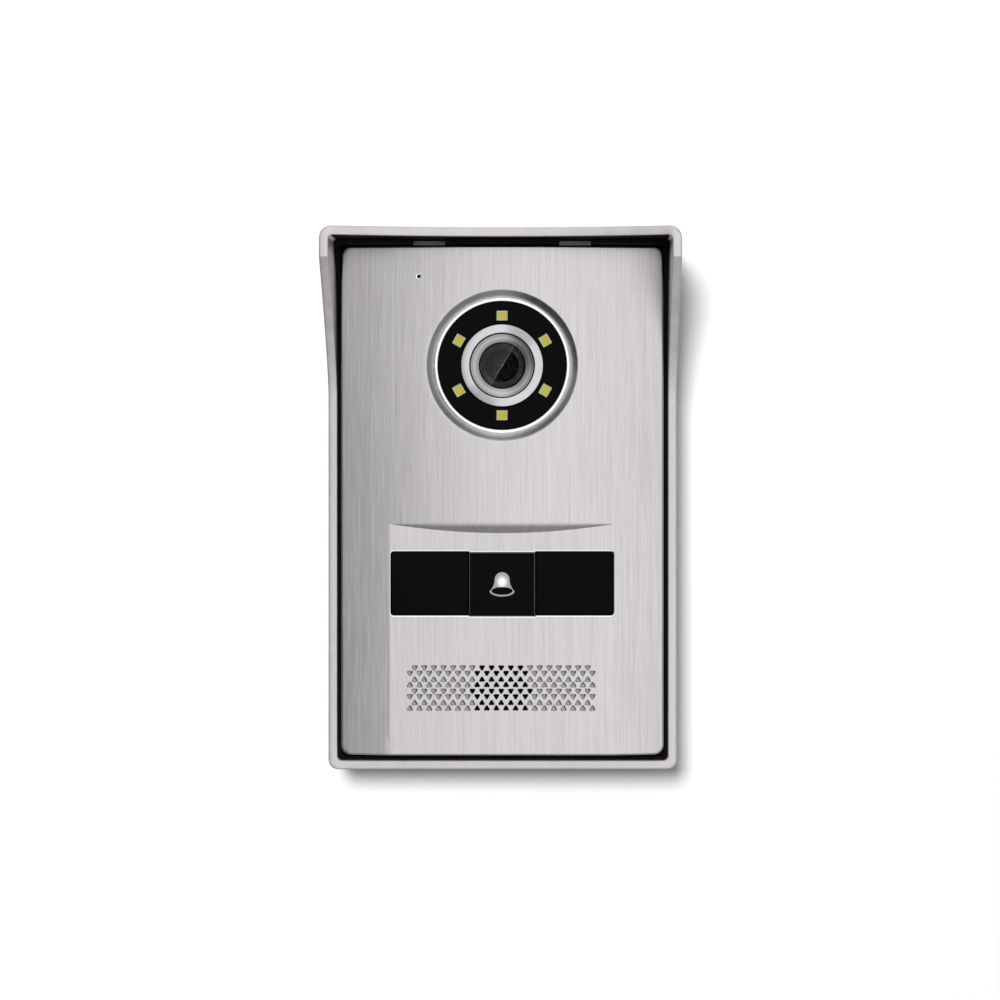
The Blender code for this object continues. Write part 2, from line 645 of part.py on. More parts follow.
def make_camera_front():
    bright = material("trim_metal", (0.75, 0.75, 0.76), 0.25, 1.0)
    outer = camera_trim_outer()
    inner = outer - CAMERA_TRIM_WALL
    proud = WINDOW_FRONT_DEPTH + CAMERA_TRIM_PROUD
    trim = [(inner, BEHIND_PANEL), (outer, BEHIND_PANEL), (outer, proud), (inner, proud)]
    as_object("camera_trim", turned(trim, 0, CAMERA_Z), bright)
    gloss = material("window_black", (0.006, 0.006, 0.007), 0.22)
    back = WINDOW_FRONT_DEPTH - WINDOW_THICKNESS
    bore = LENS_TRIM_OUTER + GAP
    ring = turned([(bore, back), (window_radius(), back), (window_radius(), WINDOW_FRONT_DEPTH),
                   (bore, WINDOW_FRONT_DEPTH)], 0, CAMERA_Z)
    window = as_object("camera_window", ring, gloss)
    front = WINDOW_FRONT_DEPTH + PAST
    cut(window, *[prism(led_outline(angle, GAP), back - PAST, front) for angle in led_turns()])


def make_leds():
    white = material("led_white", (0.85, 0.83, 0.72), 0.4)
    green = material("board_green", (0.02, 0.10, 0.05), 0.5)
    front = WINDOW_FRONT_DEPTH - WINDOW_THICKNESS - GAP
    back = front - LED_BOARD_THICKNESS
    inner = LENS_TRIM_OUTER + 2 * GAP
    outer = window_radius()
    board = [(inner, back), (outer, back), (outer, front), (inner, front)]
    as_object("led_board", turned(board, 0, CAMERA_Z), green)
    for number, angle in enumerate(led_turns(), 1):
        lamp = prism(led_outline(angle), front + GAP, WINDOW_FRONT_DEPTH - 0.0006)
        as_object(f"led_{number}", lamp, white)


def make_lens():
    bright = material("trim_metal", (0.75, 0.75, 0.76), 0.25, 1.0)
    dark = material("lens_black", (0.02, 0.02, 0.022), 0.35)
    glass = material("lens_glass", (0.01, 0.01, 0.014), 0.05)
    crest = WINDOW_FRONT_DEPTH + LENS_TRIM_PROUD
    middle = (LENS_TRIM_OUTER + LENS_TRIM_INNER) / 2
    ring = [(LENS_TRIM_INNER, BEHIND_PANEL + GAP), (LENS_TRIM_OUTER, BEHIND_PANEL + GAP),
            (LENS_TRIM_OUTER, crest - 0.0006), (middle + 0.0006, crest), (middle - 0.0006, crest),
            (LENS_TRIM_INNER, crest - 0.0006)]
    as_object("lens_trim", turned(ring, 0, CAMERA_Z), bright)
    wide = LENS_TRIM_INNER - GAP
    narrow = LENS_HEAD_RADIUS + GAP
    high = WINDOW_FRONT_DEPTH
    low = LENS_FRONT_DEPTH - 0.0006
    dish = [(narrow, low - 0.0010), (wide, high - 0.0010), (wide, high), (narrow, low)]
    as_object("lens_dish", turned(dish, 0, CAMERA_Z), bright)
    bore = LENS_GLASS_RADIUS + GAP
    head_back = LENS_FRONT_DEPTH - 0.0045
    tail = CAMERA_BOARD_DEPTH + 0.0060
    floor = LENS_FRONT_DEPTH - LENS_WELL
    barrel = [(0.0032, tail), (LENS_THREAD_RADIUS, tail), (LENS_THREAD_RADIUS, head_back),
              (LENS_HEAD_RADIUS, head_back), (LENS_HEAD_RADIUS, LENS_FRONT_DEPTH),
              (bore, LENS_FRONT_DEPTH - 0.0003), (bore, floor), (0.0032, floor)]
    as_object("lens_barrel", turned(barrel, 0, CAMERA_Z), dark)
    seat = floor + GAP
    dome = [(0, seat), (LENS_GLASS_RADIUS, seat)]
    for turn in (0, 30, 60):
        angle = math.radians(turn)
        dome.append((LENS_GLASS_RADIUS * math.cos(angle), seat + 0.0016 + LENS_DOME * math.sin(angle)))
    dome.append((0, seat + 0.0016 + LENS_DOME))
    as_object("lens_glass", turned(dome, 0, CAMERA_Z), glass)


def make_camera_module():
    black = material("housing_plastic", (0.02, 0.02, 0.022), 0.55)
    green = material("board_green", (0.02, 0.10, 0.05), 0.5)
    hold_back = BEHIND_PANEL - 0.0020
    hold_bore = LENS_HEAD_RADIUS + 2 * GAP
    hold_outer = CAMERA_HOLE_RADIUS + 0.0036
    carrier = [(hold_bore, hold_back), (hold_outer, hold_back)]
    carrier += [(hold_outer, BEHIND_PANEL), (hold_bore, BEHIND_PANEL)]
    as_object("camera_carrier", turned(carrier, 0, CAMERA_Z), black)
    board_front = CAMERA_BOARD_DEPTH + BOARD_THICKNESS
    outline = rounded(0, CAMERA_Z, CAMERA_BOARD_SIDE, CAMERA_BOARD_SIDE, 0.0010, steps=2)
    as_object("camera_board", prism(outline, CAMERA_BOARD_DEPTH, board_front), green)
    base = board_front + GAP
    mount_front = hold_back - 0.0006
    outline = rounded(0, CAMERA_Z, LENS_MOUNT_SIDE, LENS_MOUNT_SIDE, 0.0010, steps=2)
    mount = as_object("lens_mount", prism(outline, base, mount_front), black)
    bore = LENS_THREAD_RADIUS + 2 * GAP
    cut(mount, cylinder(0, CAMERA_Z, bore, base - PAST, mount_front + PAST, ROUND_STEPS))
    chip = material("sensor_silicon", (0.05, 0.06, 0.10), 0.2)
    as_object("image_sensor", block(0, CAMERA_Z, 0.0070, 0.0062, base, base + 0.0012), chip)
    make_ribbon(board_front)


def make_ribbon(board_front):
    """The flat lead from the camera board down to the main board."""
    amber = material("ribbon_amber", (0.45, 0.20, 0.04), 0.4)
    upper = CAMERA_Z - CAMERA_BOARD_SIDE / 2
    lower = board_ends()[0]
    thickness = 0.0003
    start = board_front + GAP + thickness
    finish = BOARD_DEPTH - GAP
    far = [(upper + 0.0035, start)]
    for turn in spread(0, math.pi, 7):
        far.append((upper + (lower - upper) * (0.05 + 0.9 * turn / math.pi),
                    start + (finish - start) * (1 - math.cos(turn)) / 2))
    far.append((lower - 0.0060, finish))
    near = [(z, depth - thickness) for z, depth in reversed(far)]
    as_object("camera_ribbon", bar_along_x(far + near, -0.0040, 0.0040), amber)


# ---------------------------------------------------------------- button strip
def half_strip(side):
    """Middle and width of one fixed window, between the button and the strip's end."""
    inner = BUTTON_WIDTH / 2 + GAP
    outer = STRIP_WIDTH / 2
    return side * (inner + outer) / 2, outer - inner


def make_windows():
    gloss = material("window_black", (0.006, 0.006, 0.007), 0.22)
    for name, side in (("window_left", -1), ("window_right", 1)):
        middle, width = half_strip(side)
        outline = rounded(middle, STRIP_Z, width, STRIP_HEIGHT, STRIP_RADIUS - GAP, steps=2)
        as_object(name, prism(outline, STRIP_FRONT_DEPTH - STRIP_THICKNESS, STRIP_FRONT_DEPTH), gloss)


def bell_outline(grow=0.0):
    """A bell seen from a little below: dome, flare and the oval of its mouth."""
    top = BUTTON_Z + BELL_HEIGHT / 2
    half = BELL_MOUTH / 2
    droop = BELL_HEIGHT * 0.22
    mouth = BUTTON_Z - BELL_HEIGHT / 2 + droop
    shoulder = BELL_MOUTH * 0.31
    points = []
    for turn in (-90, -60, -30):
        angle = math.radians(turn)
        points.append(((half + grow) * math.cos(angle), mouth + (droop + grow) * math.sin(angle)))
    points += [(half + grow, mouth), (shoulder + grow, mouth + BELL_HEIGHT * 0.28)]
    for turn in (0, 30, 60):
        angle = math.radians(turn)
        x = (shoulder + grow) * math.cos(angle)
        points.append((x, top - shoulder + (shoulder + grow) * math.sin(angle)))
    other = [(-x, z) for x, z in reversed(points[1:])]
    return points + [(0, top + grow)] + other


def make_button():
    gloss = material("window_black", (0.006, 0.006, 0.007), 0.22)
    glow = material("icon_white", (0.8, 0.8, 0.8), 0.4)
    cap_back = STRIP_FRONT_DEPTH - STRIP_THICKNESS
    cap = prism(rounded(0, BUTTON_Z, BUTTON_WIDTH, BUTTON_HEIGHT, 0.0005, steps=2), cap_back, BUTTON_FRONT)
    button = as_object("call_button", cap, gloss)
    barb_front = CARRIER_DEPTH - GAP
    barb_back = barb_front - 0.0014
    legs = []
    for side in (-1, 1):
        inner = side * (BUTTON_HEIGHT / 2 - 0.0034)
        outer = inner + side * LEG_THICKNESS
        barb = outer + side * LEG_BARB
        section = [(inner, cap_back + 0.0005), (inner, barb_back), (outer, barb_back)]
        section += [(barb, barb_front - 0.0002), (barb, barb_front), (outer, barb_front)]
        section.append((outer, cap_back + 0.0005))
        raised = [(BUTTON_Z + z, depth) for z, depth in section]
        legs.append(bar_along_x(raised, -LEG_WIDTH / 2, LEG_WIDTH / 2))
    post = cylinder(0, BUTTON_Z, 0.0030, stem_front() + GAP, cap_back + 0.0005)
    join(button, *legs, post)
    floor = BUTTON_FRONT - BELL_INSET
    cut(button, prism(bell_outline(GAP), floor, BUTTON_FRONT + PAST))
    as_object("bell_icon", prism(bell_outline(), floor + GAP, BUTTON_FRONT), glow)


def stem_front():
    """Depth of the front of the switch's stem at rest."""
    return BOARD_FRONT + GAP + SWITCH_HEIGHT + 0.0014


def make_switch():
    dark = material("switch_plastic", (0.03, 0.03, 0.03), 0.5)
    red = material("stem_red", (0.35, 0.03, 0.03), 0.5)
    base = BOARD_FRONT + GAP
    top = base + SWITCH_HEIGHT
    body = as_object("tact_switch", block(0, BUTTON_Z, SWITCH_SIDE, SWITCH_SIDE, base, top), dark)
    well = top - 0.0018
    cut(body, cylinder(0, BUTTON_Z, STEM_RADIUS + GAP, well, top + PAST, phase=0.5))
    stem_back = well + GAP + BUTTON_TRAVEL
    as_object("switch_stem", cylinder(0, BUTTON_Z, STEM_RADIUS, stem_back, stem_front()), red)


def make_button_carrier():
    black = material("housing_plastic", (0.02, 0.02, 0.022), 0.55)
    width = STRIP_WIDTH + 2 * CARRIER_MARGIN
    height = STRIP_HEIGHT + 2 * CARRIER_MARGIN
    carrier = as_object("button_carrier", prism(rounded(0, STRIP_Z, width, height, 0.0015, steps=2),
                                                CARRIER_DEPTH, BEHIND_PANEL), black)
    pads = []
    for side in (-1, 1):
        middle, pad_width = half_strip(side)
        pads.append(block(middle, STRIP_Z, pad_width - 0.0010, STRIP_HEIGHT - 0.0010,
                          BEHIND_PANEL - PAST, STRIP_FRONT_DEPTH - STRIP_THICKNESS - GAP))
    join(carrier, *pads)
    slot_height = BUTTON_HEIGHT - 0.0036 + 2 * GAP
    slot = block(0, BUTTON_Z, LEG_WIDTH + 2 * GAP, slot_height, CARRIER_DEPTH - PAST, BEHIND_PANEL + PAST)
    cut(carrier, slot)


# ---------------------------------------------------------------- speaker and microphone
def make_speaker():
    cloth = material("speaker_cloth", (0.02, 0.02, 0.02), 0.9)
    foam = material("foam_grey", (0.06, 0.06, 0.06), 0.9)
    steel = material("zinc_plate", (0.30, 0.30, 0.31), 0.45, 0.9)
    paper = material("cone_paper", (0.03, 0.03, 0.03), 0.8)
    iron = material("magnet_iron", (0.25, 0.25, 0.26), 0.4, 0.9)
    mesh_back = BEHIND_PANEL - 0.0003
    as_object("speaker_mesh", prism(rounded(0, SPEAKER_Z, MESH_WIDTH, MESH_HEIGHT, 0.0020, steps=2),
                                    mesh_back, BEHIND_PANEL), cloth)
    gasket_front = mesh_back - GAP
    gasket_back = gasket_front - 0.0010
    inner = SPEAKER_RADIUS - 0.0022
    ring = [(inner, gasket_back), (SPEAKER_RADIUS, gasket_back)]
    ring += [(SPEAKER_RADIUS, gasket_front), (inner, gasket_front)]
    as_object("speaker_gasket", turned(ring, 0, SPEAKER_Z), foam)
    front = gasket_back - GAP
    back = front - SPEAKER_DEPTH
    throat = SPEAKER_RADIUS * 0.50
    basket = [(SPEAKER_RADIUS, front), (SPEAKER_RADIUS, front - 0.0010)]
    basket += [(SPEAKER_RADIUS - 0.0015, front - 0.0010), (throat + 0.0016, back + 0.0044)]
    basket += [(throat - 0.0030, back + 0.0044), (throat - 0.0030, back + 0.0052)]
    basket += [(throat + 0.0010, back + 0.0052), (inner, front - 0.0008), (inner, front)]
    as_object("speaker_frame", turned(basket, 0, SPEAKER_Z), steel)
    rim = inner - GAP
    shell = [(rim, front), (rim, front - 0.0005), (throat - 0.0004, front - 0.0030), (0, front - 0.0012),
             (0, front - 0.0006), (throat - 0.0002, front - 0.0024), (rim - 0.0006, front)]
    as_object("speaker_cone", turned(shell, 0, SPEAKER_Z), paper)
    magnet_radius, magnet_front = SPEAKER_RADIUS * 0.62, back + 0.0044 - GAP
    as_object("speaker_magnet", cylinder(0, SPEAKER_Z, magnet_radius, back, magnet_front, 32), iron)


def make_microphone():
    rubber = material("seal_rubber", (0.03, 0.03, 0.03), 0.8)
    can = material("capsule_metal", (0.55, 0.55, 0.56), 0.35, 0.9)
    back = BEHIND_PANEL - 0.0060
    seat = MIC_CAPSULE_RADIUS + GAP
    throat = MIC_HOLE_RADIUS + 0.0002
    boot = [(throat, BEHIND_PANEL), (MIC_BOOT_RADIUS, BEHIND_PANEL), (MIC_BOOT_RADIUS, back), (seat, back),
            (seat, BEHIND_PANEL - 0.0010), (throat, BEHIND_PANEL - 0.0010)]
    as_object("microphone_boot", turned(boot, MIC_FROM_CENTRE, MIC_Z, 24), rubber)
    as_object("microphone_capsule", cylinder(MIC_FROM_CENTRE, MIC_Z, MIC_CAPSULE_RADIUS, back + 0.0006,
                                             BEHIND_PANEL - 0.0010 - GAP, 24), can)


# ---------------------------------------------------------------- main board and what is on it
def make_board():
    green = material("board_green", (0.02, 0.10, 0.05), 0.5)
    top, bottom = board_ends()
    outline = rounded(0, (top + bottom) / 2, 2 * board_half_width(), top - bottom, 0.0015, steps=2)
    board = as_object("main_board", prism(outline, BOARD_DEPTH, BOARD_FRONT), green)
    for x, z in post_places():
        cut(board, screw_hole(x, z, SMALL_SCREW, BOARD_DEPTH - PAST, BOARD_FRONT + PAST))


def make_components():
    tin = material("capsule_metal", (0.55, 0.55, 0.56), 0.35, 0.9)
    dark = material("switch_plastic", (0.03, 0.03, 0.03), 0.5)
    green = material("terminal_green", (0.05, 0.30, 0.12), 0.5)
    front = BOARD_FRONT + GAP
    row = board_ends()[0] - 0.0120
    as_object("shield_can", block(-0.0180, row, 0.0280, 0.0180, front, front + 0.0026), tin)
    as_object("relay", block(0.0120, row, 0.0150, 0.0120, front, front + 0.0056), dark)
    as_object("capacitor", cylinder(0.0300, row, 0.0040, front, front + 0.0055, 20), tin)
    back = HOUSING_BACK_DEPTH + 0.0004
    rear = BOARD_DEPTH - GAP
    jack = as_object("network_jack", block(-0.0095, CABLE_Z, 0.0160, 0.0140, back, rear), dark)
    cut(jack, block(-0.0095, CABLE_Z, 0.0118, 0.0080, back - PAST, rear - 0.0010))
    terminal = as_object("terminal_block", block(0.0095, CABLE_Z, 0.0160, 0.0110, back, rear), green)
    slots = [block(0.0095 + shift, CABLE_Z, 0.0030, 0.0050, back - PAST, back + 0.0050) for shift in
             (-0.0050, 0.0, 0.0050)]
    cut(terminal, *slots)


# ---------------------------------------------------------------- screws
def screw_shape(x, z, screw, head_low, head_high, tip):
    """A screw along depth: its head lies between two depths, and its shank ends at the tip."""
    head_radius, _, shank_radius = screw
    meet, outside = (head_high, head_low) if tip > head_high else (head_low, head_high)
    shank = [(0, tip), (shank_radius, tip), (shank_radius, meet)]
    head = [(head_radius, meet), (head_radius, outside), (0, outside)]
    return turned(shank + head, x, z, SMALL_STEPS)


def make_screws():
    zinc = material("screw_zinc", (0.55, 0.54, 0.50), 0.35, 1.0)
    low = housing_head_depth()
    for number, (x, z) in enumerate(housing_screw_places(), 1):
        shape = screw_shape(x, z, HOUSING_SCREW, low, low + HOUSING_SCREW[1], PANEL_BACK_DEPTH + 0.0028)
        as_object(f"housing_screw_{number}", shape, zinc)
    low = HOOD_BACK + 2 * GAP + BRACKET_THICKNESS
    for number, (x, z) in enumerate(wall_screw_places(), 1):
        shape = screw_shape(x, z, WALL_SCREW, low, low + WALL_SCREW[1], low - WALL_SCREW_LENGTH)
        as_object(f"wall_screw_{number}", shape, zinc)
    low = BOARD_FRONT + GAP
    for number, (x, z) in enumerate(post_places(), 1):
        shape = screw_shape(x, z, SMALL_SCREW, low, low + SMALL_SCREW[1], HOUSING_FLOOR + 0.0010)
        as_object(f"board_screw_{number}", shape, zinc)
    make_lock_screw(zinc)


def make_lock_screw(zinc):
    """The upright screw that holds the station in the hood from below."""
    head_low = -HALF_HEIGHT + GAP
    head_high = head_low + LOCK_SCREW[1]
    tip = -HOUSING_Z + HOUSING_WALL + 0.0010
    head_radius, _, shank_radius = LOCK_SCREW[:3]
    rings = []
    for radius, z in ((head_radius, head_low), (head_radius, head_high), (shank_radius, head_high),
                      (shank_radius, tip)):
        rings.append([(x, y, z) for x, y in upright_circle(0, LOCK_DEPTH, radius, SMALL_STEPS)])
    screw = as_object("locking_screw", skin(rings), zinc)
    socket = vertical_cylinder(0, LOCK_DEPTH, 0.0011, head_low - PAST, head_low + 0.0012, 6)
    cut(screw, socket)


def main():
    for old in list(bpy.data.objects):
        bpy.data.objects.remove(old)
    make_hood()
    make_liner()
    make_bracket()
    make_panel()
    make_housing()
    make_seal()
    make_camera_front()
    make_leds()
    make_lens()
    make_camera_module()
    make_windows()
    make_button()
    make_switch()
    make_button_carrier()
    make_speaker()
    make_microphone()
    make_board()
    make_components()
    make_screws()


main()
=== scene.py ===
"""Looks of a door intercom panel under a rain hood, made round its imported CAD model.

The hood's back lies on the wall at Y = 0, the panel looks along -Y, +X is to the right of someone
who faces it and +Z is up. "Depth" is a distance out from the wall, so Y = -depth. All in metres.
"""
import math

import bmesh
import bpy
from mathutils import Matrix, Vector, geometry


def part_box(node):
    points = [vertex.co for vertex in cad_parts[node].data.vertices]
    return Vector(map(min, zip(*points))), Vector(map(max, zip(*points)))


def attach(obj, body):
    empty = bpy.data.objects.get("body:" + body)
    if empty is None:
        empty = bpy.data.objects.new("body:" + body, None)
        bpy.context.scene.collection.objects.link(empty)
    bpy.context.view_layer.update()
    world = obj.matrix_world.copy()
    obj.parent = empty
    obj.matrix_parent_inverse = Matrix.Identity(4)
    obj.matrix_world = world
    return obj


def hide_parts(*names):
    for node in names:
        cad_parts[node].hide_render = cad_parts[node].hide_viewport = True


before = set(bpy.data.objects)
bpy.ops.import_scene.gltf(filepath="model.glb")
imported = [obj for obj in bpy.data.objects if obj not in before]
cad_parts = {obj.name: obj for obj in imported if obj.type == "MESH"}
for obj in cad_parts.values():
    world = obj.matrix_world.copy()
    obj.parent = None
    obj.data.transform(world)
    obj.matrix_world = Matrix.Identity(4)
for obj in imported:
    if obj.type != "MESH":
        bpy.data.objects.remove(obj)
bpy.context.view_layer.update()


# ---------------------------------------------------------------- places and sizes from the frame
def middle(node):
    """Middle of a CAD node's box."""
    low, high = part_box(node)
    return (low + high) / 2


def span(node):
    """Size of a CAD node's box."""
    low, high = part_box(node)
    return high - low


def front_of(node):
    """How far a CAD node stands out from the wall."""
    return -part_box(node)[0].y


def back_of(node):
    """How near to the wall a CAD node reaches."""
    return -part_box(node)[1].y


GAP = 0.0003                      # between pieces that rest on each other

HALF_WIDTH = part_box("rain_hood")[1].x
HALF_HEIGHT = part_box("rain_hood")[1].z
VISOR_DEPTH = front_of("rain_hood")
HOOD_WALL = 0.0030
HOOD_BACK = 0.0025
HOOD_RIM_DEPTH = 0.0240
VISOR_SCOOP = 0.0066
VISOR_NOSE = 0.0100
VISOR_FLANK = 0.0440
VISOR_CURVE = 1.30
HOOD_TOP_RADIUS = 0.0040
HOOD_BOTTOM_RADIUS = 0.0032
HOOD_INNER_RADIUS = 0.0016
HOOD_TOP_REACH = 0.050             # half of the straight part of its top
HOOD_OUTER_EDGE = 0.0007          # rounding of the hood's front edge, outside and inside
HOOD_INNER_EDGE = 0.0004
INNER_X = HALF_WIDTH - HOOD_WALL
INNER_Z = HALF_HEIGHT - HOOD_WALL
NOSE_Z = HALF_HEIGHT - VISOR_NOSE
RIM_Z = NOSE_Z - VISOR_FLANK

PANEL_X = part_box("front_panel")[1].x
PANEL_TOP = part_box("front_panel")[1].z
PANEL_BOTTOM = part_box("front_panel")[0].z
PANEL_BACK = back_of("front_panel")
PANEL_CROWN_DEPTH = front_of("front_panel")
PANEL_CROWN_RADIUS = 0.3600
PANEL_RADIUS = 0.0030
PANEL_EDGE = 0.0007               # rounding of the panel's front edge
GRID_HALF_WIDTH = 0.0510          # of the loose points that keep the crown's triangles small
POCKET_HALF_WIDTH = 0.0370
POCKET_DEPTH = PANEL_CROWN_DEPTH - POCKET_HALF_WIDTH ** 2 / (2 * PANEL_CROWN_RADIUS)
POCKET_WALL_RUN = 1.60
POCKET_SOFT = (0.55, 0.0007)      # rounding of its upper wall: a share of its rise, and the most
POCKET_TOP_ABOVE_STRIP = 0.0196

CAMERA_Z = middle("camera_window").z
CAMERA_HOLE = span("camera_trim").x / 2 + GAP
RECESS_RUN = 0.0027
RECESS = CAMERA_HOLE + RECESS_RUN
RECESS_DROP = 0.0020
RECESS_HOLLOW = 0.8                # how far its section curves
RECESS_EASE = 0.18                 # share of its run that rounds into the panel
WINDOW_FRONT = front_of("camera_window")
WINDOW_RADIUS = span("camera_window").x / 2

STRIP_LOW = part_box("window_left")[0]
STRIP_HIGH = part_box("window_right")[1]
STRIP_Z = middle("window_left").z
STRIP_RADIUS = 0.0011
STRIP_GAP = 0.00012               # above and below the windows and the button
BUTTON_Z = middle("call_button").z
POCKET_TOP = STRIP_Z + POCKET_TOP_ABOVE_STRIP

SPEAKER_Z = middle("speaker_mesh").z
GRILLE_REACH = (0.0330, 0.0090)    # half of its width and height
GRILLE_SHIFT = -0.0003
GRILLE_PITCH = 0.00316
GRILLE_ROW_STEP = 0.00192
GRILLE_PAIR_STEP = 0.00007
GRILLE_SIDE = 0.00176
GRILLE_OPEN_HOLES = (5, 6, 5, 6, 7, 6, 5, 6)
GRILLE_COLUMNS = (19, 20)          # in even rows and in odd rows, counted from 0 at the top
MIC = middle("microphone_boot")
MIC_HOLE = 0.00065

LAMP_CIRCLE = middle("led_1").z - CAMERA_Z
LAMP = span("led_1")

FULL_TURN = 2 * math.pi
SMOOTH_ANGLE = math.radians(28)
JUST_INSIDE = 0.9985              # of a radius, where a round edge made of short lines begins
SECTOR_ANGLE = math.radians(58)   # of the darker sectors of the lens ring, which are a painted reflection
SECTOR_DARK = 0.4                 # their colour as a share of the ring's darker one
# The cover glass's pale half and its bright line are a painted reflection that the glass emits.
SHEEN_ANGLE = math.radians(149)   # across the pale half of the cover glass
SHEEN = 0.014
SHEEN_LINE = 0.040
SHEEN_REACH = 0.0065
SHEEN_LINE_HALF = (0.00006, 0.00022)   # where the bright line begins to fade and where it ends

CAMERA_PLACE = (0.0174, -0.6519, 0.02705)
CAMERA_LENS = 67.95
CAMERA_SHIFT = (-0.055, -0.080)
LIGHT_PLACE = (-0.34, -2.2, 0.68)
KEY_POWER = 24.0
KEY_SIZE = (0.40, 0.40)
WALL_POWER = 110.0
WALL_SIZE = (0.60, 0.72)
WALL_GLOW = 0.03
WALL_BEHIND = 0.0004              # how far the wall lies behind the hood's back
FLOOR_BELOW = 0.45
STAGE_REACH = 3.0
# Each is: the axis of the direction looked in, from, to, and the brightness at those two.
WORLD_RISE = ("Z", -0.80, -0.15, 0.82, 1.00)
WORLD_ABOVE = ("Z", 0.74, 0.97, 1.00, 2.10)
WORLD_FRONT = ("Y", -0.88, -0.45, 1.22, 0.40)
WORLD_BEHIND = ("Y", 0.25, 0.70, 0.40, 0.95)
WORLD_LEFT = ("X", -0.34, -0.14, 0.15, 1.00)
WORLD_RIGHT = ("X", 0.05, 0.36, 1.00, 0.74)
WORLD_LEFT_RISE = ("Z", 0.02, 0.20, 0.15, 0.60)


# ---------------------------------------------------------------- mesh tools
def in_scene(name, data):
    """A new object in the scene."""
    made = bpy.data.objects.new(name, data)
    bpy.context.scene.collection.objects.link(made)
    return made


def as_mesh(name, shape):
    """Turn a bmesh into a mesh."""
    bmesh.ops.recalc_face_normals(shape, faces=shape.faces)
    mesh = bpy.data.meshes.new(name)
    shape.to_mesh(mesh)
    shape.free()
    return mesh


def as_piece(name, shape, materials, body="station"):
    """Turn a bmesh into a piece that rides on a body."""
    bmesh.ops.remove_doubles(shape, verts=shape.verts, dist=1e-7)
    mesh = as_mesh(name, shape)
    for finish in materials:
        mesh.materials.append(finish)
    mesh.shade_smooth()
    mesh.set_sharp_from_angle(angle=SMOOTH_ANGLE)
    piece = in_scene(name, mesh)
    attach(piece, body)
    return piece


def skin(shape, rings, material_of=None):
    """Join equal rings of points into one closed skin with a cap at each end."""
    made = [[shape.verts.new(point) for point in ring] for ring in rings]
    for number, (near, far) in enumerate(zip(made, made[1:])):
        for index in range(len(near)):
            after = (index + 1) % len(near)
            face = shape.faces.new((near[index], near[after], far[after], far[index]))
            if material_of:
                face.material_index = material_of(number)
    shape.faces.new(made[0])
    last = shape.faces.new(made[-1])
    if material_of:
        last.material_index = material_of(len(rings) - 1)
    return shape


def polar(x, z, radius, angle):
    """The point at an angle in degrees round a centre."""
    turn = math.radians(angle)
    return x + radius * math.cos(turn), z + radius * math.sin(turn)


def rounded(x, z, width, height, top_radius, bottom_radius=None, steps=6):
    """A rectangle in X and Z with round corners, which may differ at its top and bottom."""
    bottom_radius = top_radius if bottom_radius is None else bottom_radius
    corners = [(1, -1, bottom_radius, -90), (1, 1, top_radius, 0)]
    corners += [(-1, 1, top_radius, 90), (-1, -1, bottom_radius, 180)]
    points = []
    for side, rise, radius, start in corners:
        corner = x + side * (width / 2 - radius), z + rise * (height / 2 - radius)
        points += [polar(*corner, radius, start + 90 * step / steps) for step in range(steps + 1)]
    return points


def circle(x, z, radius, steps=96):
    """Points of a circle in X and Z."""
    angles = [FULL_TURN * step / steps for step in range(steps)]
    return [(x + radius * math.cos(angle), z + radius * math.sin(angle)) for angle in angles]


def oval(z, half_width, half_height, turns):
    """Points of an oval about X = 0, at angles in degrees."""
    return [(half_width * math.cos(math.radians(turn)), z + half_height * math.sin(math.radians(turn)))
            for turn in turns]


def at_depth(outline, depth):
    """Points in space of an outline in X and Z."""
    return [(x, -depth, z) for x, z in outline]


def quarter(edge, steps=4):
    """Inset and drop of points round a quarter circle, from a side face to the front face."""
    turns = [math.pi / 2 * step / steps for step in range(steps + 1)]
    return [(edge * (1 - math.cos(turn)), edge * (1 - math.sin(turn))) for turn in turns]


def tablet(shape, outline, back, front, edge):
    """A plate with a rounded front edge; outline(inset) gives its points."""
    rings = [at_depth(outline(0), back)]
    rings += [at_depth(outline(inset), front - drop) for inset, drop in quarter(edge)]
    return skin(shape, rings)


def turned(name, profile, finish, steps=96):
    """A piece turned from a closed profile of (radius, depth) about the camera's axis."""
    shape = bmesh.new()
    rings = []
    for radius, depth in profile:
        points = circle(0, CAMERA_Z, radius, steps) if radius else [(0, CAMERA_Z)]
        rings.append([shape.verts.new(point) for point in at_depth(points, depth)])
    for near, far in zip(rings, rings[1:] + rings[:1]):
        for step in range(steps if len(near) + len(far) > 2 else 0):
            after = (step + 1) % steps
            corners = [near[step % len(near)], near[after % len(near)]]
            corners += [far[after % len(far)], far[step % len(far)]]
            shape.faces.new(list(dict.fromkeys(corners)))
    return as_piece(name, shape, [finish])


def arc(radius, depth, size, start, finish, steps=5):
    """Profile points on an arc about (radius, depth), by angles in degrees."""
    return [polar(radius, depth, size, start + (finish - start) * step / steps) for step in range(steps + 1)]


def off_camera(x, z):
    """Distance from the camera's axis."""
    return math.hypot(x, z - CAMERA_Z)


def off_mic(x, z):
    """Distance from the microphone hole's axis."""
    return math.hypot(x - MIC.x, z - MIC.z)


def inside(point, outline):
    """Whether a point lies inside a closed outline."""
    x, z = point
    held = False
    for (x1, z1), (x2, z2) in zip(outline, outline[1:] + outline[:1]):
        if (z1 > z) != (z2 > z) and x < (x2 - x1) * (z - z1) / (z2 - z1) + x1:
            held = not held
    return held


def spread(low, high, count):
    """Evenly spaced values from low to high, both included."""
    return [low + (high - low) * step / (count - 1) for step in range(count)]


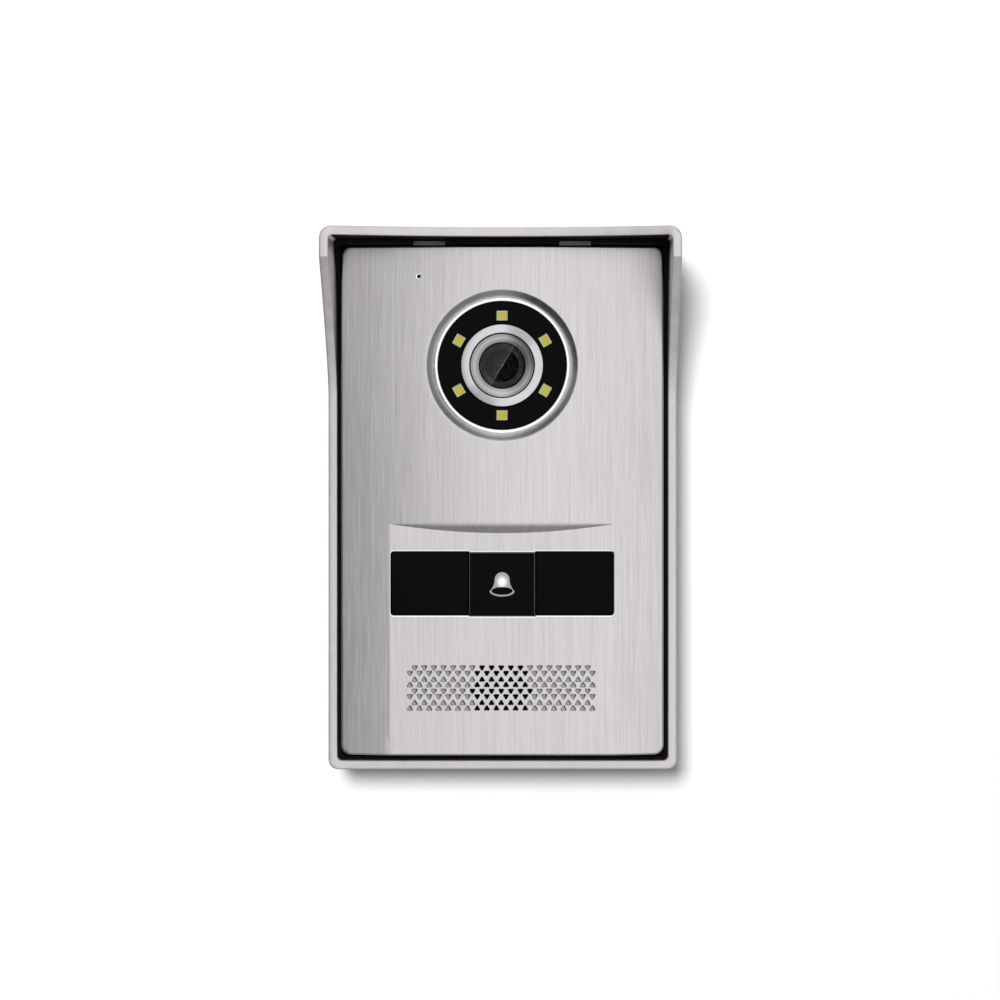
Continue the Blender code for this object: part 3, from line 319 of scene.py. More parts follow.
class Drawing:
    """Points and lines in X and Z, which are filled with triangles and lifted to their depth."""

    UNIT = 1000.0                 # the fill works in millimetres

    def __init__(self):
        self.points = []
        self.lines = []
        self.drops = {}
        self.creased = set()

    def line(self, points, closed=True, drop=0.0, crease=False):
        """Add a line that the triangles keep to, and how far its points lie below the surface."""
        first = len(self.points)
        count = len(points)
        self.points += points
        for step in range(count if closed else count - 1):
            self.lines.append((first + step, first + (step + 1) % count))
        for index in range(first, first + count):
            self.drops[index] = drop
            if crease:
                self.creased.add(index)

    def fill(self, keep):
        """Triangles between the lines whose middles are to be kept."""
        flat = [Vector((x * self.UNIT, z * self.UNIT)) for x, z in self.points]
        made = geometry.delaunay_2d_cdt(flat, self.lines, [], 0, 1e-5, True)
        points = [(place.x / self.UNIT, place.y / self.UNIT) for place in made[0]]
        drops = []
        creased = set()
        for index, sources in enumerate(made[3]):
            drops.append(max((self.drops[source] for source in sources if source in self.drops), default=0.0))
            if any(source in self.creased for source in sources):
                creased.add(index)
        faces = []
        for corners in made[2]:
            if keep([sum(points[index][axis] for index in corners) / 3 for axis in (0, 1)]):
                faces.append(corners)
        return points, faces, drops, creased


def plate(name, drawing, keep, depth_at, back, materials, material_of=None):
    """A closed plate. Its front is the filled drawing at depth_at(x, z), less each point's own drop."""
    points, faces, drops, creased = drawing.fill(keep)
    shape = bmesh.new()
    front = []
    for (x, z), drop in zip(points, drops):
        front.append(shape.verts.new((x, drop - depth_at(x, z), z)))
    for corners in faces:
        face = shape.faces.new([front[index] for index in corners])
        if material_of:
            face.material_index = material_of(face.calc_center_median())
    shape.verts.index_update()
    rim = [edge for edge in shape.edges if len(edge.link_faces) == 1]
    order = list({vert for edge in rim for vert in edge.verts})
    behind = {vert: shape.verts.new((vert.co.x, -back, vert.co.z)) for vert in order}
    number = {vert: index for index, vert in enumerate(order)}
    outline = Drawing()
    outline.points = [(vert.co.x, vert.co.z) for vert in order]
    outline.lines = [tuple(number[vert] for vert in edge.verts) for edge in rim]
    for start, end in [edge.verts for edge in rim]:
        shape.faces.new((start, end, behind[end], behind[start]))
    for corners in outline.fill(keep)[1]:
        shape.faces.new([behind[order[index]] for index in corners])
    sharp = [front[index].co.copy() for index in creased]
    bmesh.ops.delete(shape, geom=[vert for vert in shape.verts if not vert.link_faces], context="VERTS")
    piece = as_piece(name, shape, materials)
    crease_edges(piece.data, sharp)
    even = piece.modifiers.new("even_shading", "WEIGHTED_NORMAL")
    even.keep_sharp = True
    return piece


def crease_edges(mesh, places):
    """Mark the edges sharp that join two of these places."""
    tidy = {tuple(round(value, 7) for value in place) for place in places}
    marked = {vert.index for vert in mesh.vertices if tuple(round(value, 7) for value in vert.co) in tidy}
    for edge in mesh.edges:
        if edge.vertices[0] in marked and edge.vertices[1] in marked:
            edge.use_edge_sharp = True


def cut_from(piece, shape):
    """Cut a bmesh out of a piece for good."""
    cutter = in_scene("cutter", as_mesh("cutter", shape))
    change = piece.modifiers.new("cut", "BOOLEAN")
    change.operation = "DIFFERENCE"
    change.object = cutter
    cut_mesh = bpy.data.meshes.new_from_object(piece.evaluated_get(bpy.context.evaluated_depsgraph_get()))
    piece.modifiers.clear()
    uncut = piece.data
    piece.data = cut_mesh
    bpy.data.meshes.remove(uncut)
    cut_mesh.set_sharp_from_angle(angle=SMOOTH_ANGLE)
    bpy.data.objects.remove(cutter)


# ---------------------------------------------------------------- material tools
class Graph:
    """The nodes of a material or a world."""

    def __init__(self, owner):
        owner.use_nodes = True
        self.nodes = owner.node_tree.nodes
        self.links = owner.node_tree.links

    def between(self, value, low, high, to_low, to_high, smooth=False):
        """Map a value from one span to another."""
        node = self.nodes.new("ShaderNodeMapRange")
        node.interpolation_type = "SMOOTHSTEP" if smooth else "LINEAR"
        for socket, number in zip(("From Min", "From Max", "To Min", "To Max"), (low, high, to_low, to_high)):
            node.inputs[socket].default_value = number
        self.links.new(value, node.inputs["Value"])
        return node.outputs["Result"]

    def math(self, operation, *values):
        """A sum, product and so on of values, any of which may be a number."""
        node = self.nodes.new("ShaderNodeMath")
        node.operation = operation
        for socket, value in zip(node.inputs, values):
            if isinstance(value, (int, float)):
                socket.default_value = value
            else:
                self.links.new(value, socket)
        return node.outputs["Value"]

    def weighted(self, *parts):
        """Sum of values, each times its share."""
        total = 0.0
        for value, share in parts:
            part = self.math("MULTIPLY", value, share)
            total = self.math("ADD", total, part) if total else part
        return total

    def show_either(self, factor, first, second, output):
        """Show one of two shaders."""
        mix = self.nodes.new("ShaderNodeMixShader")
        for socket, source in zip(mix.inputs, (factor, first.outputs[0], second.outputs[0])):
            self.links.new(source, socket)
        self.links.new(mix.outputs[0], self.nodes[output].inputs["Surface"])


class Finish(Graph):
    """A Principled material whose colour, roughness and bump come from its own nodes."""

    def __init__(self, name, roughness=0.5, metallic=0.0, **fixed):
        self.material = bpy.data.materials.new(name)
        super().__init__(self.material)
        self.shader = self.nodes["Principled BSDF"]
        self.shader.inputs["Roughness"].default_value = roughness
        self.shader.inputs["Metallic"].default_value = metallic
        for socket, value in fixed.items():
            self.shader.inputs[socket.replace("_", " ")].default_value = value
        self.place = self.nodes.new("ShaderNodeTexCoord").outputs["Object"]

    def stretched(self, scale, origin=(0.0, 0.0, 0.0)):
        """Object coordinates about an origin, times a scale for each axis."""
        node = self.nodes.new("ShaderNodeMapping")
        node.vector_type = "POINT"
        node.inputs["Scale"].default_value = scale
        node.inputs["Location"].default_value = [-start * factor for start, factor in zip(origin, scale)]
        self.links.new(self.place, node.inputs["Vector"])
        return node.outputs["Vector"]

    def apart(self, centre):
        """Distance across and up from a centre."""
        node = self.nodes.new("ShaderNodeSeparateXYZ")
        self.links.new(self.stretched((1.0, 0.0, 1.0), centre), node.inputs[0])
        return node.outputs["X"], node.outputs["Z"]

    def along(self, centre, angle):
        """Distance from a centre along a direction in X and Z."""
        across, up = self.apart(centre)
        return self.weighted((across, math.cos(angle)), (up, math.sin(angle)))

    def toward(self, centre, angle):
        """1 where a point lies at an angle from a centre, or opposite to it, and 0 square to that."""
        across, up = self.apart(centre)
        near = self.along(centre, angle)
        reach = self.weighted((across, across), (up, up))
        return self.math("DIVIDE", self.math("MULTIPLY", near, near), reach)

    def noise(self, vector, scale, detail=3.0, rough=0.5):
        """A noise value from 0 to 1."""
        node = self.nodes.new("ShaderNodeTexNoise")
        for socket, number in (("Scale", scale), ("Detail", detail), ("Roughness", rough)):
            node.inputs[socket].default_value = number
        self.links.new(vector, node.inputs["Vector"])
        return node.outputs["Fac"]

    def bands(self, direction, pitch):
        """Ridges a pitch apart along an axis."""
        wave = self.nodes.new("ShaderNodeTexWave")
        wave.bands_direction = direction
        wave.inputs["Scale"].default_value = 0.3 / pitch
        self.links.new(self.place, wave.inputs["Vector"])
        return wave.outputs["Fac"]

    def spot(self, centre, across, up):
        """A value that falls from 1 at a centre, over a distance of 1 / across and 1 / up."""
        node = self.nodes.new("ShaderNodeTexGradient")
        node.gradient_type = "SPHERICAL"
        self.links.new(self.stretched((across, 0.0, up), centre), node.inputs["Vector"])
        return node.outputs["Fac"]

    def blend(self, factor, first, second):
        """Colour between two colours."""
        node = self.nodes.new("ShaderNodeMix")
        node.data_type = "RGBA"
        self.links.new(factor, node.inputs["Factor"])
        for socket, colour in ((node.inputs[6], first), (node.inputs[7], second)):
            if isinstance(colour, tuple):
                socket.default_value = (*colour, 1.0)
            else:
                self.links.new(colour, socket)
        return node.outputs[2]

    def shade(self, value, low, high, dark, light, smooth=False):
        """Colour that goes from dark to light while a value goes from low to high."""
        return self.blend(self.between(value, low, high, 0.0, 1.0, smooth), dark, light)

    def colour(self, source):
        self.links.new(source, self.shader.inputs["Base Color"])

    def roughness(self, value, low, high, least, most):
        """Roughness that goes from least to most while a value goes from low to high."""
        self.links.new(self.between(value, low, high, least, most), self.shader.inputs["Roughness"])

    def bump(self, height, strength, distance):
        node = self.nodes.new("ShaderNodeBump")
        node.inputs["Strength"].default_value = strength
        node.inputs["Distance"].default_value = distance
        self.links.new(height, node.inputs["Height"])
        self.links.new(node.outputs["Normal"], self.shader.inputs["Normal"])

    def tangent(self, axis):
        """Lay the shader's grain round an axis."""
        node = self.nodes.new("ShaderNodeTangent")
        node.direction_type = "RADIAL"
        node.axis = axis
        self.links.new(node.outputs["Tangent"], self.shader.inputs["Tangent"])


def grained(name, dark, light, roughness, metallic=0.0, grain=900.0, bump=0.15, depth=0.00004, **fixed):
    """A moulded, cast or painted surface: mottled colour, uneven gloss and a fine grain."""
    made = Finish(name, roughness, metallic, **fixed)
    fine = made.noise(made.place, grain, 4.0)
    broad = made.noise(made.place, grain / 22, 2.0)
    made.colour(made.shade(made.weighted((fine, 0.5), (broad, 0.5)), 0.35, 0.65, dark, light))
    made.roughness(broad, 0.3, 0.7, roughness * 0.85, min(roughness * 1.15, 1.0))
    made.bump(fine, bump, depth)
    return made.material


def brushed(name, dark, light, roughness, grain_scale, streaks, **fixed):
    """Metal brushed along Z: long thin streaks in its colour, gloss and surface."""
    made = Finish(name, roughness, 1.0, **fixed)
    made.tangent("Z")
    across, along = grain_scale
    fine = made.noise(made.stretched((across, across, along)), 1.0, 3.0, 0.62)
    soft = made.noise(made.stretched((across * 0.22, across * 0.22, along * 0.45)), 1.0, 2.0)
    speck = made.noise(made.place, across, 1.0)
    mix = made.weighted((fine, 0.66), (soft, 0.22), (speck, 0.12))
    made.colour(made.shade(mix, 0.5 - streaks, 0.5 + streaks, dark, light))
    made.roughness(fine, 0.3, 0.7, roughness * 0.88, roughness * 1.14)
    made.bump(fine, 0.10, 0.00002)
    return made.material


def lathed(name, dark, light, roughness, centre, pitch, anisotropy, sectors=0.0):
    """Metal turned about an axis out of the wall: fine rings, and darker sectors of painted reflection where
    they are asked for.
    """
    made = Finish(name, roughness, 1.0, Anisotropic=anisotropy)
    made.shader.inputs["Anisotropic Rotation"].default_value = 0.25
    made.tangent("Y")
    rings = made.nodes.new("ShaderNodeTexWave")
    rings.wave_type = "RINGS"
    rings.rings_direction = "Y"
    rings.inputs["Scale"].default_value = 1.0
    rings.inputs["Distortion"].default_value = 0.4
    turns = 1.0 / pitch
    made.links.new(made.stretched((turns, 0.0, turns), centre), rings.inputs["Vector"])
    wear = made.noise(made.place, 700.0, 2.0)
    colour = made.shade(made.weighted((rings.outputs["Fac"], 0.5), (wear, 0.5)), 0.2, 0.8, dark, light)
    # the darker sectors are a painted reflection, at an angle from the centre and opposite to it
    if sectors:
        near = made.between(made.toward(centre, SECTOR_ANGLE), 0.72, 1.0, 0.0, 1.0, True)
        deep = tuple(SECTOR_DARK * part for part in dark)
        colour = made.blend(made.math("MULTIPLY", near, sectors), colour, deep)
    made.colour(colour)
    made.roughness(wear, 0.3, 0.7, roughness * 0.9, roughness * 1.1)
    made.bump(rings.outputs["Fac"], 0.02, 0.00001)
    return made.material


def woven(name, dark, light, pitch):
    """Cloth of crossed threads in X and Z."""
    made = Finish(name, 0.9)
    weave = made.math("MULTIPLY", made.bands("X", pitch), made.bands("Z", pitch))
    made.colour(made.blend(weave, dark, light))
    made.bump(weave, 0.6, 0.00008)
    return made.material


def threaded(name, dark, light, axis, pitch):
    """Plated steel with the ridges of a screw thread along an axis."""
    made = Finish(name, 0.32, 1.0)
    cloud = made.noise(made.place, 500.0, 3.0)
    made.colour(made.shade(cloud, 0.3, 0.7, dark, light))
    made.roughness(cloud, 0.3, 0.7, 0.26, 0.42)
    made.bump(made.bands(axis, pitch), 0.5, 0.00012)
    return made.material


def glass_black(name, specular, roughness):
    """Black gloss plastic with a trace of dust and uneven polish."""
    made = Finish(name, roughness, Specular_IOR_Level=specular)
    dust = made.noise(made.place, 2600.0, 2.0)
    haze = made.noise(made.place, 60.0, 2.0)
    made.colour(made.shade(dust, 0.66, 0.8, (0.0018, 0.0018, 0.0020), (0.008, 0.008, 0.009)))
    made.roughness(haze, 0.35, 0.65, roughness * 0.8, roughness * 1.25)
    return made.material


# ---------------------------------------------------------------- hood
def lip_depth(x, z):
    """Depth of the hood's front edge: scooped across its top, and falling back down its sides."""
    if z > NOSE_Z:
        return VISOR_DEPTH - VISOR_SCOOP * (1 - min(abs(x) / INNER_X, 1.0) ** 2)
    share = min(max((z - RIM_Z) / VISOR_FLANK, 0.0), 1.0)
    return HOOD_RIM_DEPTH + (VISOR_DEPTH - HOOD_RIM_DEPTH) * share ** VISOR_CURVE


def hood_outline(inset):
    """The hood's outline at an inset, with the points that the visor's curves need."""
    share = inset / HOOD_WALL
    radii = [outer + (HOOD_INNER_RADIUS - outer) * share for outer in (HOOD_TOP_RADIUS, HOOD_BOTTOM_RADIUS)]
    points = rounded(0, 0, 2 * (HALF_WIDTH - inset), 2 * (HALF_HEIGHT - inset), *radii)
    corner = len(points) // 4
    rises = spread(RIM_Z, NOSE_Z, 19)
    across = spread(HOOD_TOP_REACH, -HOOD_TOP_REACH, 21)
    side = HALF_WIDTH - inset
    ring = points[:corner] + [(side, z) for z in rises]
    ring += points[corner:2 * corner] + [(x, HALF_HEIGHT - inset) for x in across]
    ring += points[2 * corner:3 * corner] + [(-side, z) for z in reversed(rises)]
    return ring + points[3 * corner:]


def make_hood(paint, ceiling_shade):
    """The hood, whose ceiling takes the black rubber as painted shade."""
    back_edge = 0.0004
    floor_fillet = 0.0006
    rings = [at_depth(hood_outline(back_edge), 0.0), at_depth(hood_outline(0), back_edge)]
    for inset, drop in quarter(HOOD_OUTER_EDGE, 5):
        rings.append([(x, -(lip_depth(x, z) - drop), z) for x, z in hood_outline(inset)])
    for inset, drop in reversed(quarter(HOOD_INNER_EDGE)):
        rings.append([(x, -(lip_depth(x, z) - drop), z) for x, z in hood_outline(HOOD_WALL - inset)])
    rings.append(at_depth(hood_outline(HOOD_WALL), HOOD_BACK + floor_fillet))
    rings.append(at_depth(hood_outline(HOOD_WALL + floor_fillet), HOOD_BACK))
    hood = as_piece("hood", skin(bmesh.new(), rings), [paint, ceiling_shade])
    cut_from(hood, hood_openings())
    behind_lip = -0.75 * VISOR_DEPTH      # the painted shade ends behind the visor's front edge
    for face in hood.data.polygons:
        if face.normal.z < -0.9 and face.center.z > INNER_Z - HOOD_WALL / 2 and face.center.y > behind_lip:
            face.material_index = 1
    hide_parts("rain_hood")


def hood_openings():
    """The cable entry, the wall screws' holes and the stepped hole of the locking screw."""
    shape = bmesh.new()
    entry_low, entry_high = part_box("network_jack")[0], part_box("terminal_block")[1]
    past = 0.001
    width, height, radius = 0.0440, 0.0300, 0.0015
    outline = rounded((entry_low.x + entry_high.x) / 2, middle("network_jack").z, width, height, radius)
    skin(shape, [at_depth(outline, -past), at_depth(outline, HOOD_BACK + past)])
    hole_radius, sink_radius, sink_depth = 0.00235, 0.0032, 0.0004
    for number in range(1, 5):
        place = middle(f"wall_screw_{number}")
        hole = circle(place.x, place.z, hole_radius, 32)
        sink = circle(place.x, place.z, sink_radius, 32)
        behind, before = -0.9 * past, HOOD_BACK + past
        skin(shape, [at_depth(sink, behind), at_depth(hole, sink_depth), at_depth(hole, before)])
    lock = middle("locking_screw")
    head, shank, seat = span("locking_screw").x / 2 + GAP, 0.00175, 0.0024
    floor = -HALF_HEIGHT + seat
    rings = []
    for radius, z in ((head, -HALF_HEIGHT - past), (head, floor), (shank, floor), (shank, -INNER_Z + past)):
        rings.append([(lock.x + x, lock.y + y, z) for x, y in circle(0, 0, radius, 32)])
    return skin(shape, rings)


# ---------------------------------------------------------------- front panel
def crown(x):
    """Depth of the panel's crowned front at a distance from its centre line."""
    return PANEL_CROWN_DEPTH - x ** 2 / (2 * PANEL_CROWN_RADIUS)


def pocket_foot(x):
    """Height of the lower end of the pocket's upper wall."""
    return POCKET_TOP - POCKET_WALL_RUN * max(crown(x) - POCKET_DEPTH, 0.0)


def softened(first, second, width):
    """The lower of two values, rounded over where they cross."""
    near = max(width - abs(first - second), 0.0) / width
    return min(first, second) - near * near * width / 4


def panel_surface(x, z):
    """Depth of the panel's front: its crown, the pocket and the dished recess round the camera."""
    depth = crown(x)
    rise = depth - POCKET_DEPTH
    if rise > 1e-6 and abs(x) < POCKET_HALF_WIDTH:
        wall = POCKET_DEPTH + (z - pocket_foot(x)) / POCKET_WALL_RUN
        depth = softened(depth, max(wall, POCKET_DEPTH), min(POCKET_SOFT[0] * rise, POCKET_SOFT[1]))
    if off_camera(x, z) < RECESS:
        share = min((RECESS - off_camera(x, z)) / RECESS_RUN, 1.0)
        eased = share * share / (2 * RECESS_EASE) if share < RECESS_EASE else share - RECESS_EASE / 2
        depth -= RECESS_DROP * (eased + RECESS_HOLLOW * share * eased * (1 - share))
    return depth


def panel_depth(x, z):
    """Depth of the panel's front with its rounded outer edge."""
    return panel_surface(x, z) - edge_drop(edge_distance(x, z))


def edge_distance(x, z):
    """Distance from a point to the panel's outline."""
    centre_z = (PANEL_TOP + PANEL_BOTTOM) / 2
    over_x = abs(x) - (PANEL_X - PANEL_RADIUS)
    over_z = abs(z - centre_z) - ((PANEL_TOP - PANEL_BOTTOM) / 2 - PANEL_RADIUS)
    if over_x > 0 and over_z > 0:
        return PANEL_RADIUS - math.hypot(over_x, over_z)
    return PANEL_RADIUS - max(over_x, over_z)


def edge_drop(distance):
    """How far a rounded edge falls at a distance from the outline."""
    if distance >= PANEL_EDGE:
        return 0.0
    return PANEL_EDGE - math.sqrt(max(PANEL_EDGE ** 2 - (PANEL_EDGE - distance) ** 2, 0.0))


def panel_outline(inset):
    """The panel's outline at an inset, with points along its top and bottom that follow the crown."""
    width, height = 2 * (PANEL_X - inset), PANEL_TOP - PANEL_BOTTOM - 2 * inset
    ring = rounded(0, (PANEL_TOP + PANEL_BOTTOM) / 2, width, height, PANEL_RADIUS - inset, steps=8)
    half_turn = len(ring) // 2
    reach = PANEL_X - PANEL_RADIUS - 0.0012
    above = [(x, PANEL_TOP - inset) for x in spread(reach, -reach, 40)]
    below = [(x, PANEL_BOTTOM + inset) for x in spread(-reach, reach, 40)]
    return ring[:half_turn] + above + ring[half_turn:] + below


def strip_outline(grow=0.0):
    """The cut-out for the button strip, which steps down with the button in its middle."""
    width, height = STRIP_HIGH.x - STRIP_LOW.x, STRIP_HIGH.z - STRIP_LOW.z
    ring = rounded((STRIP_LOW.x + STRIP_HIGH.x) / 2, STRIP_Z, width + 2 * (GAP + grow),
                   height + 2 * (STRIP_GAP + grow), STRIP_RADIUS + grow)
    half_turn = len(ring) // 2
    side = span("call_button").x / 2 + STRIP_GAP
    top, bottom = STRIP_Z + height / 2 + STRIP_GAP + grow, STRIP_Z - height / 2 - STRIP_GAP - grow
    step = STRIP_Z - BUTTON_Z
    turns = ((1, 0), (1, step), (-1, step), (-1, 0))
    above = [(sign * (side - grow), top - fall) for sign, fall in turns]
    below = [(-sign * (side + grow), bottom - fall) for sign, fall in turns]
    return ring[:half_turn] + above + ring[half_turn:] + below


def grille_triangle(x, z, points_up, size):
    """A small triangle with round corners and a level base, by the middle of its height."""
    turn = 90 if points_up else -90
    radius = size / math.sqrt(3)
    z += -radius / 14 if points_up else radius / 14
    points = []
    for corner in range(3):
        for lean, reach in ((-15, 0.90), (0, 0.93), (15, 0.90)):
            points.append(polar(x, z, reach * radius, turn + 120 * corner + lean))
    return points


def grille_places():
    """Each triangle of the grille: its middle, whether it points up and whether it goes through."""
    rows = len(GRILLE_OPEN_HOLES)
    for row, through in enumerate(GRILLE_OPEN_HOLES):
        z = SPEAKER_Z + ((rows - 1) / 2 - row) * GRILLE_ROW_STEP
        z += GRILLE_PAIR_STEP if row % 2 else -GRILLE_PAIR_STEP
        count = GRILLE_COLUMNS[row % 2]
        for column in range(count):
            across = column - (count - 1) / 2
            yield GRILLE_SHIFT + across * GRILLE_PITCH, z, row // 2 % 2 == 1, abs(across) <= (through - 1) / 2


def draw_pocket(drawing):
    """The creases down the pocket's sides, and the lines along its upper wall."""
    for side in (-1, 1):
        drawing.line([(side * POCKET_HALF_WIDTH, z) for z in spread(POCKET_TOP, PANEL_BOTTOM, 24)],
                     closed=False, crease=True)
    across = spread(-POCKET_HALF_WIDTH, POCKET_HALF_WIDTH, 61)
    for share in (0.0, 0.2, 0.4, 0.55, 0.68, 0.8, 0.9, 1.0, 1.1, 1.22, 1.36, 1.55):
        line = [(x, pocket_foot(x) + share * (POCKET_TOP - pocket_foot(x))) for x in across]
        drawing.line(line[1:-1], closed=False, crease=share == 0.0)


def make_panel(aluminium, machined, polished, pit_shade_metal, black):
    drawing = Drawing()
    for inset, _ in quarter(PANEL_EDGE, 5):
        drawing.line(panel_outline(inset))
    draw_pocket(drawing)
    for share in (0.0, 0.15, 0.3, 0.45, 0.6, 0.7, 0.8, 0.9, 1.0):
        drawing.line(circle(0, CAMERA_Z, CAMERA_HOLE + share * RECESS_RUN))
    around_recess = 0.0012
    drawing.line(circle(0, CAMERA_Z, RECESS + around_recess))
    chamfer = mic_ring = 0.00034
    chamfer_drop, mic_drop = 0.00010, 0.00001
    strip, bevel = strip_outline(), strip_outline(chamfer)
    drawing.line(strip, drop=chamfer_drop, crease=True)
    drawing.line(bevel, crease=True)
    drawing.line(circle(MIC.x, MIC.z, MIC_HOLE, 24), drop=mic_drop, crease=True)
    drawing.line(circle(MIC.x, MIC.z, MIC_HOLE + mic_ring, 24), crease=True)
    holes = []
    mouth, mouth_drop = 0.00028, 0.00008
    pit_wall, pit_floor = (0.92, 0.00022), (0.20, 0.00048)     # share of the side, and drop
    for *place, through in grille_places():
        drawing.line(grille_triangle(*place, GRILLE_SIDE + mouth), crease=True)
        if through:
            holes.append(grille_triangle(*place, GRILLE_SIDE))
            drawing.line(holes[-1], drop=mouth_drop, crease=True)
        else:
            drawing.line(grille_triangle(*place, GRILLE_SIDE * pit_wall[0]), drop=pit_wall[1], crease=True)
            drawing.line(grille_triangle(*place, GRILLE_SIDE * pit_floor[0]), drop=pit_floor[1])
    margin, clear = 0.0020, 0.0015
    for x in spread(-GRID_HALF_WIDTH, GRID_HALF_WIDTH, 35):
        drawing.points += [(x, z) for z in spread(PANEL_BOTTOM + margin, PANEL_TOP - margin, 33)
                           if off_camera(x, z) > RECESS + clear
                           and not (abs(x) < GRILLE_REACH[0] and abs(z - SPEAKER_Z) < GRILLE_REACH[1])]

    mic_just_inside = 0.98

    def keep(point):
        """Whether the panel has metal at a point."""
        x, z = point
        if edge_distance(x, z) < 0 or off_camera(x, z) < CAMERA_HOLE * JUST_INSIDE:
            return False
        if off_mic(x, z) < MIC_HOLE * mic_just_inside or inside(point, strip):
            return False
        return not any(abs(x - hole[0][0]) < GRILLE_SIDE and abs(z - hole[0][1]) < GRILLE_SIDE
                       and inside(point, hole) for hole in holes)

    pit_edge = 0.00005

    def which(centre):
        """The recess is turned, the edges of the openings are polished, the dimples are darker as painted
        shade, and the rest is brushed.
        """
        x, z = centre.x, centre.z
        if off_camera(x, z) < RECESS:
            return 1
        if off_mic(x, z) < MIC_HOLE + mic_ring or inside((x, z), bevel):
            return 2
        return 3 if panel_depth(x, z) + centre.y > pit_edge else 0

    finishes = [aluminium, machined, polished, pit_shade_metal, black]
    panel = plate("panel", drawing, keep, panel_depth, PANEL_BACK, finishes, which)
    # the microphone hole's walls take the black rubber as painted shade
    for face in panel.data.polygons:
        if off_mic(face.center.x, face.center.z) < MIC_HOLE and abs(face.normal.y) < 0.5:
            face.material_index = 4
    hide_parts("front_panel")


# ---------------------------------------------------------------- camera
def make_camera_trim(chrome):
    seam = 0.00004
    inner, outer = WINDOW_RADIUS + seam, CAMERA_HOLE - seam
    front, back = front_of("camera_trim"), back_of("camera_trim")
    edge = 0.00032
    profile = [(inner, back), (outer, back)] + arc(outer - edge, front - edge, edge, 0, 90)
    profile += arc(inner + edge, front - edge, edge, 90, 180)
    trim = turned("camera_ring", profile, chrome, 144)
    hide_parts("camera_trim")


def lamp_angles():
    """Angles of the six lamps round the lens, the first at the top."""
    return [math.pi / 2 + FULL_TURN * index / 6 for index in range(6)]


def lamp_outline(angle, width, height, radius, steps=4):
    """A round-cornered rectangle at one lamp, turned so that its height runs along the radius."""
    points = []
    for side, rise in rounded(0, 0, width, height, radius, steps=steps):
        reach = LAMP_CIRCLE + rise
        points.append((reach * math.cos(angle) + side * math.sin(angle),
                       CAMERA_Z + reach * math.sin(angle) - side * math.cos(angle)))
    return points


def make_camera_window(gloss):
    drawing = Drawing()
    bore = span("lens_trim").x / 2 + GAP
    edge = 0.00012
    drawing.line(circle(0, CAMERA_Z, WINDOW_RADIUS), drop=edge)
    drawing.line(circle(0, CAMERA_Z, WINDOW_RADIUS - edge))
    drawing.line(circle(0, CAMERA_Z, bore), drop=edge)
    drawing.line(circle(0, CAMERA_Z, bore + edge))
    holes = []
    slack = 0.00018               # each lamp sits low and to the right in its square window
    corner = 0.00025
    for angle in lamp_angles():
        width, height = LAMP.x + 2 * slack, LAMP.z + 2 * slack
        for grow, drop in ((0.0, edge), (2 * edge, 0.0)):
            around = lamp_outline(angle, width + grow, height + grow, corner)
            hole = [(x - slack, z + slack) for x, z in around]
            drawing.line(hole, drop=drop)
            if drop:
                holes.append(hole)

    def keep(point):
        """Whether the window has material at a point."""
        ring = bore * JUST_INSIDE < off_camera(*point) < WINDOW_RADIUS
        return ring and not any(inside(point, hole) for hole in holes)

    window = plate("camera_disc", drawing, keep, lambda x, z: WINDOW_FRONT, back_of("camera_window"), [gloss])
    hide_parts("camera_window")


def make_lamps(package, phosphor):
    """Six surface-mounted lamps: a white cup with its yellow fill just below the rim."""
    back, front = back_of("led_1"), front_of("led_1")
    wall_x, wall_z = 0.00015, 0.00022
    edge, corner, inner_corner = 0.0001, 0.00016, 0.00035
    fill = front - 0.00016
    cup = ((0.0, back), (0.0, front - edge), (edge, front))
    bowl = ((0.0, front), (0.00007, fill), (0.0003, fill - 0.00002), (0.0006, fill - 0.00003))
    for number, angle in enumerate(lamp_angles(), 1):
        rings = []
        for inset, depth in cup:
            outline = lamp_outline(angle, LAMP.x - 2 * inset, LAMP.z - 2 * inset, corner)
            rings.append(at_depth(outline, depth))
        for inset, depth in bowl:
            width, height = LAMP.x - 2 * wall_x - 2 * inset, LAMP.z - 2 * wall_z - 2 * inset
            rings.append(at_depth(lamp_outline(angle, width, height, inner_corner), depth))
        last_wall = 3
        lamp = as_piece(f"lamp_{number}", skin(bmesh.new(), rings, lambda ring: int(ring > last_wall)),
                        [package, phosphor])
        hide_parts(f"led_{number}")


def make_lens(ring_metal, dish_metal, black, coated, cover):
    outer, back = span("lens_trim").x / 2, back_of("lens_trim")
    inner = span("lens_dish").x / 2 + GAP
    crest = front_of("lens_trim")
    edge = 0.00020
    tilt = 0.00022
    profile = [(inner, back), (outer, back)] + arc(outer - edge, crest - tilt - edge, edge, 0, 90)
    profile += [(inner + edge, crest)] + arc(inner + edge, crest - edge, edge, 90, 180)
    ring = turned("lens_ring", profile, ring_metal, 144)
    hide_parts("lens_trim")

    below_barrel, thickness, small = 0.0016, 0.0010, 0.0001
    wide, high = inner - GAP, front_of("lens_dish")
    head = span("lens_barrel").x / 2
    narrow = head + GAP
    step = (wide - narrow) / 3
    rim_fall, cone_top, cone_foot = 0.00032, high - 0.00045, front_of("lens_barrel") - small
    profile = [(narrow, front_of("lens_barrel") - below_barrel), (wide, high - thickness), (wide, high - small),
               (wide - small, high), (wide - 0.8 * step, high - rim_fall), (wide - 0.9 * step, cone_top),
               (narrow + small, cone_foot), (narrow, cone_foot - small)]
    dish = turned("lens_cup", profile, dish_metal, 144)
    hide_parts("lens_dish")
    make_barrel(black)
    make_glass(coated, cover, head)


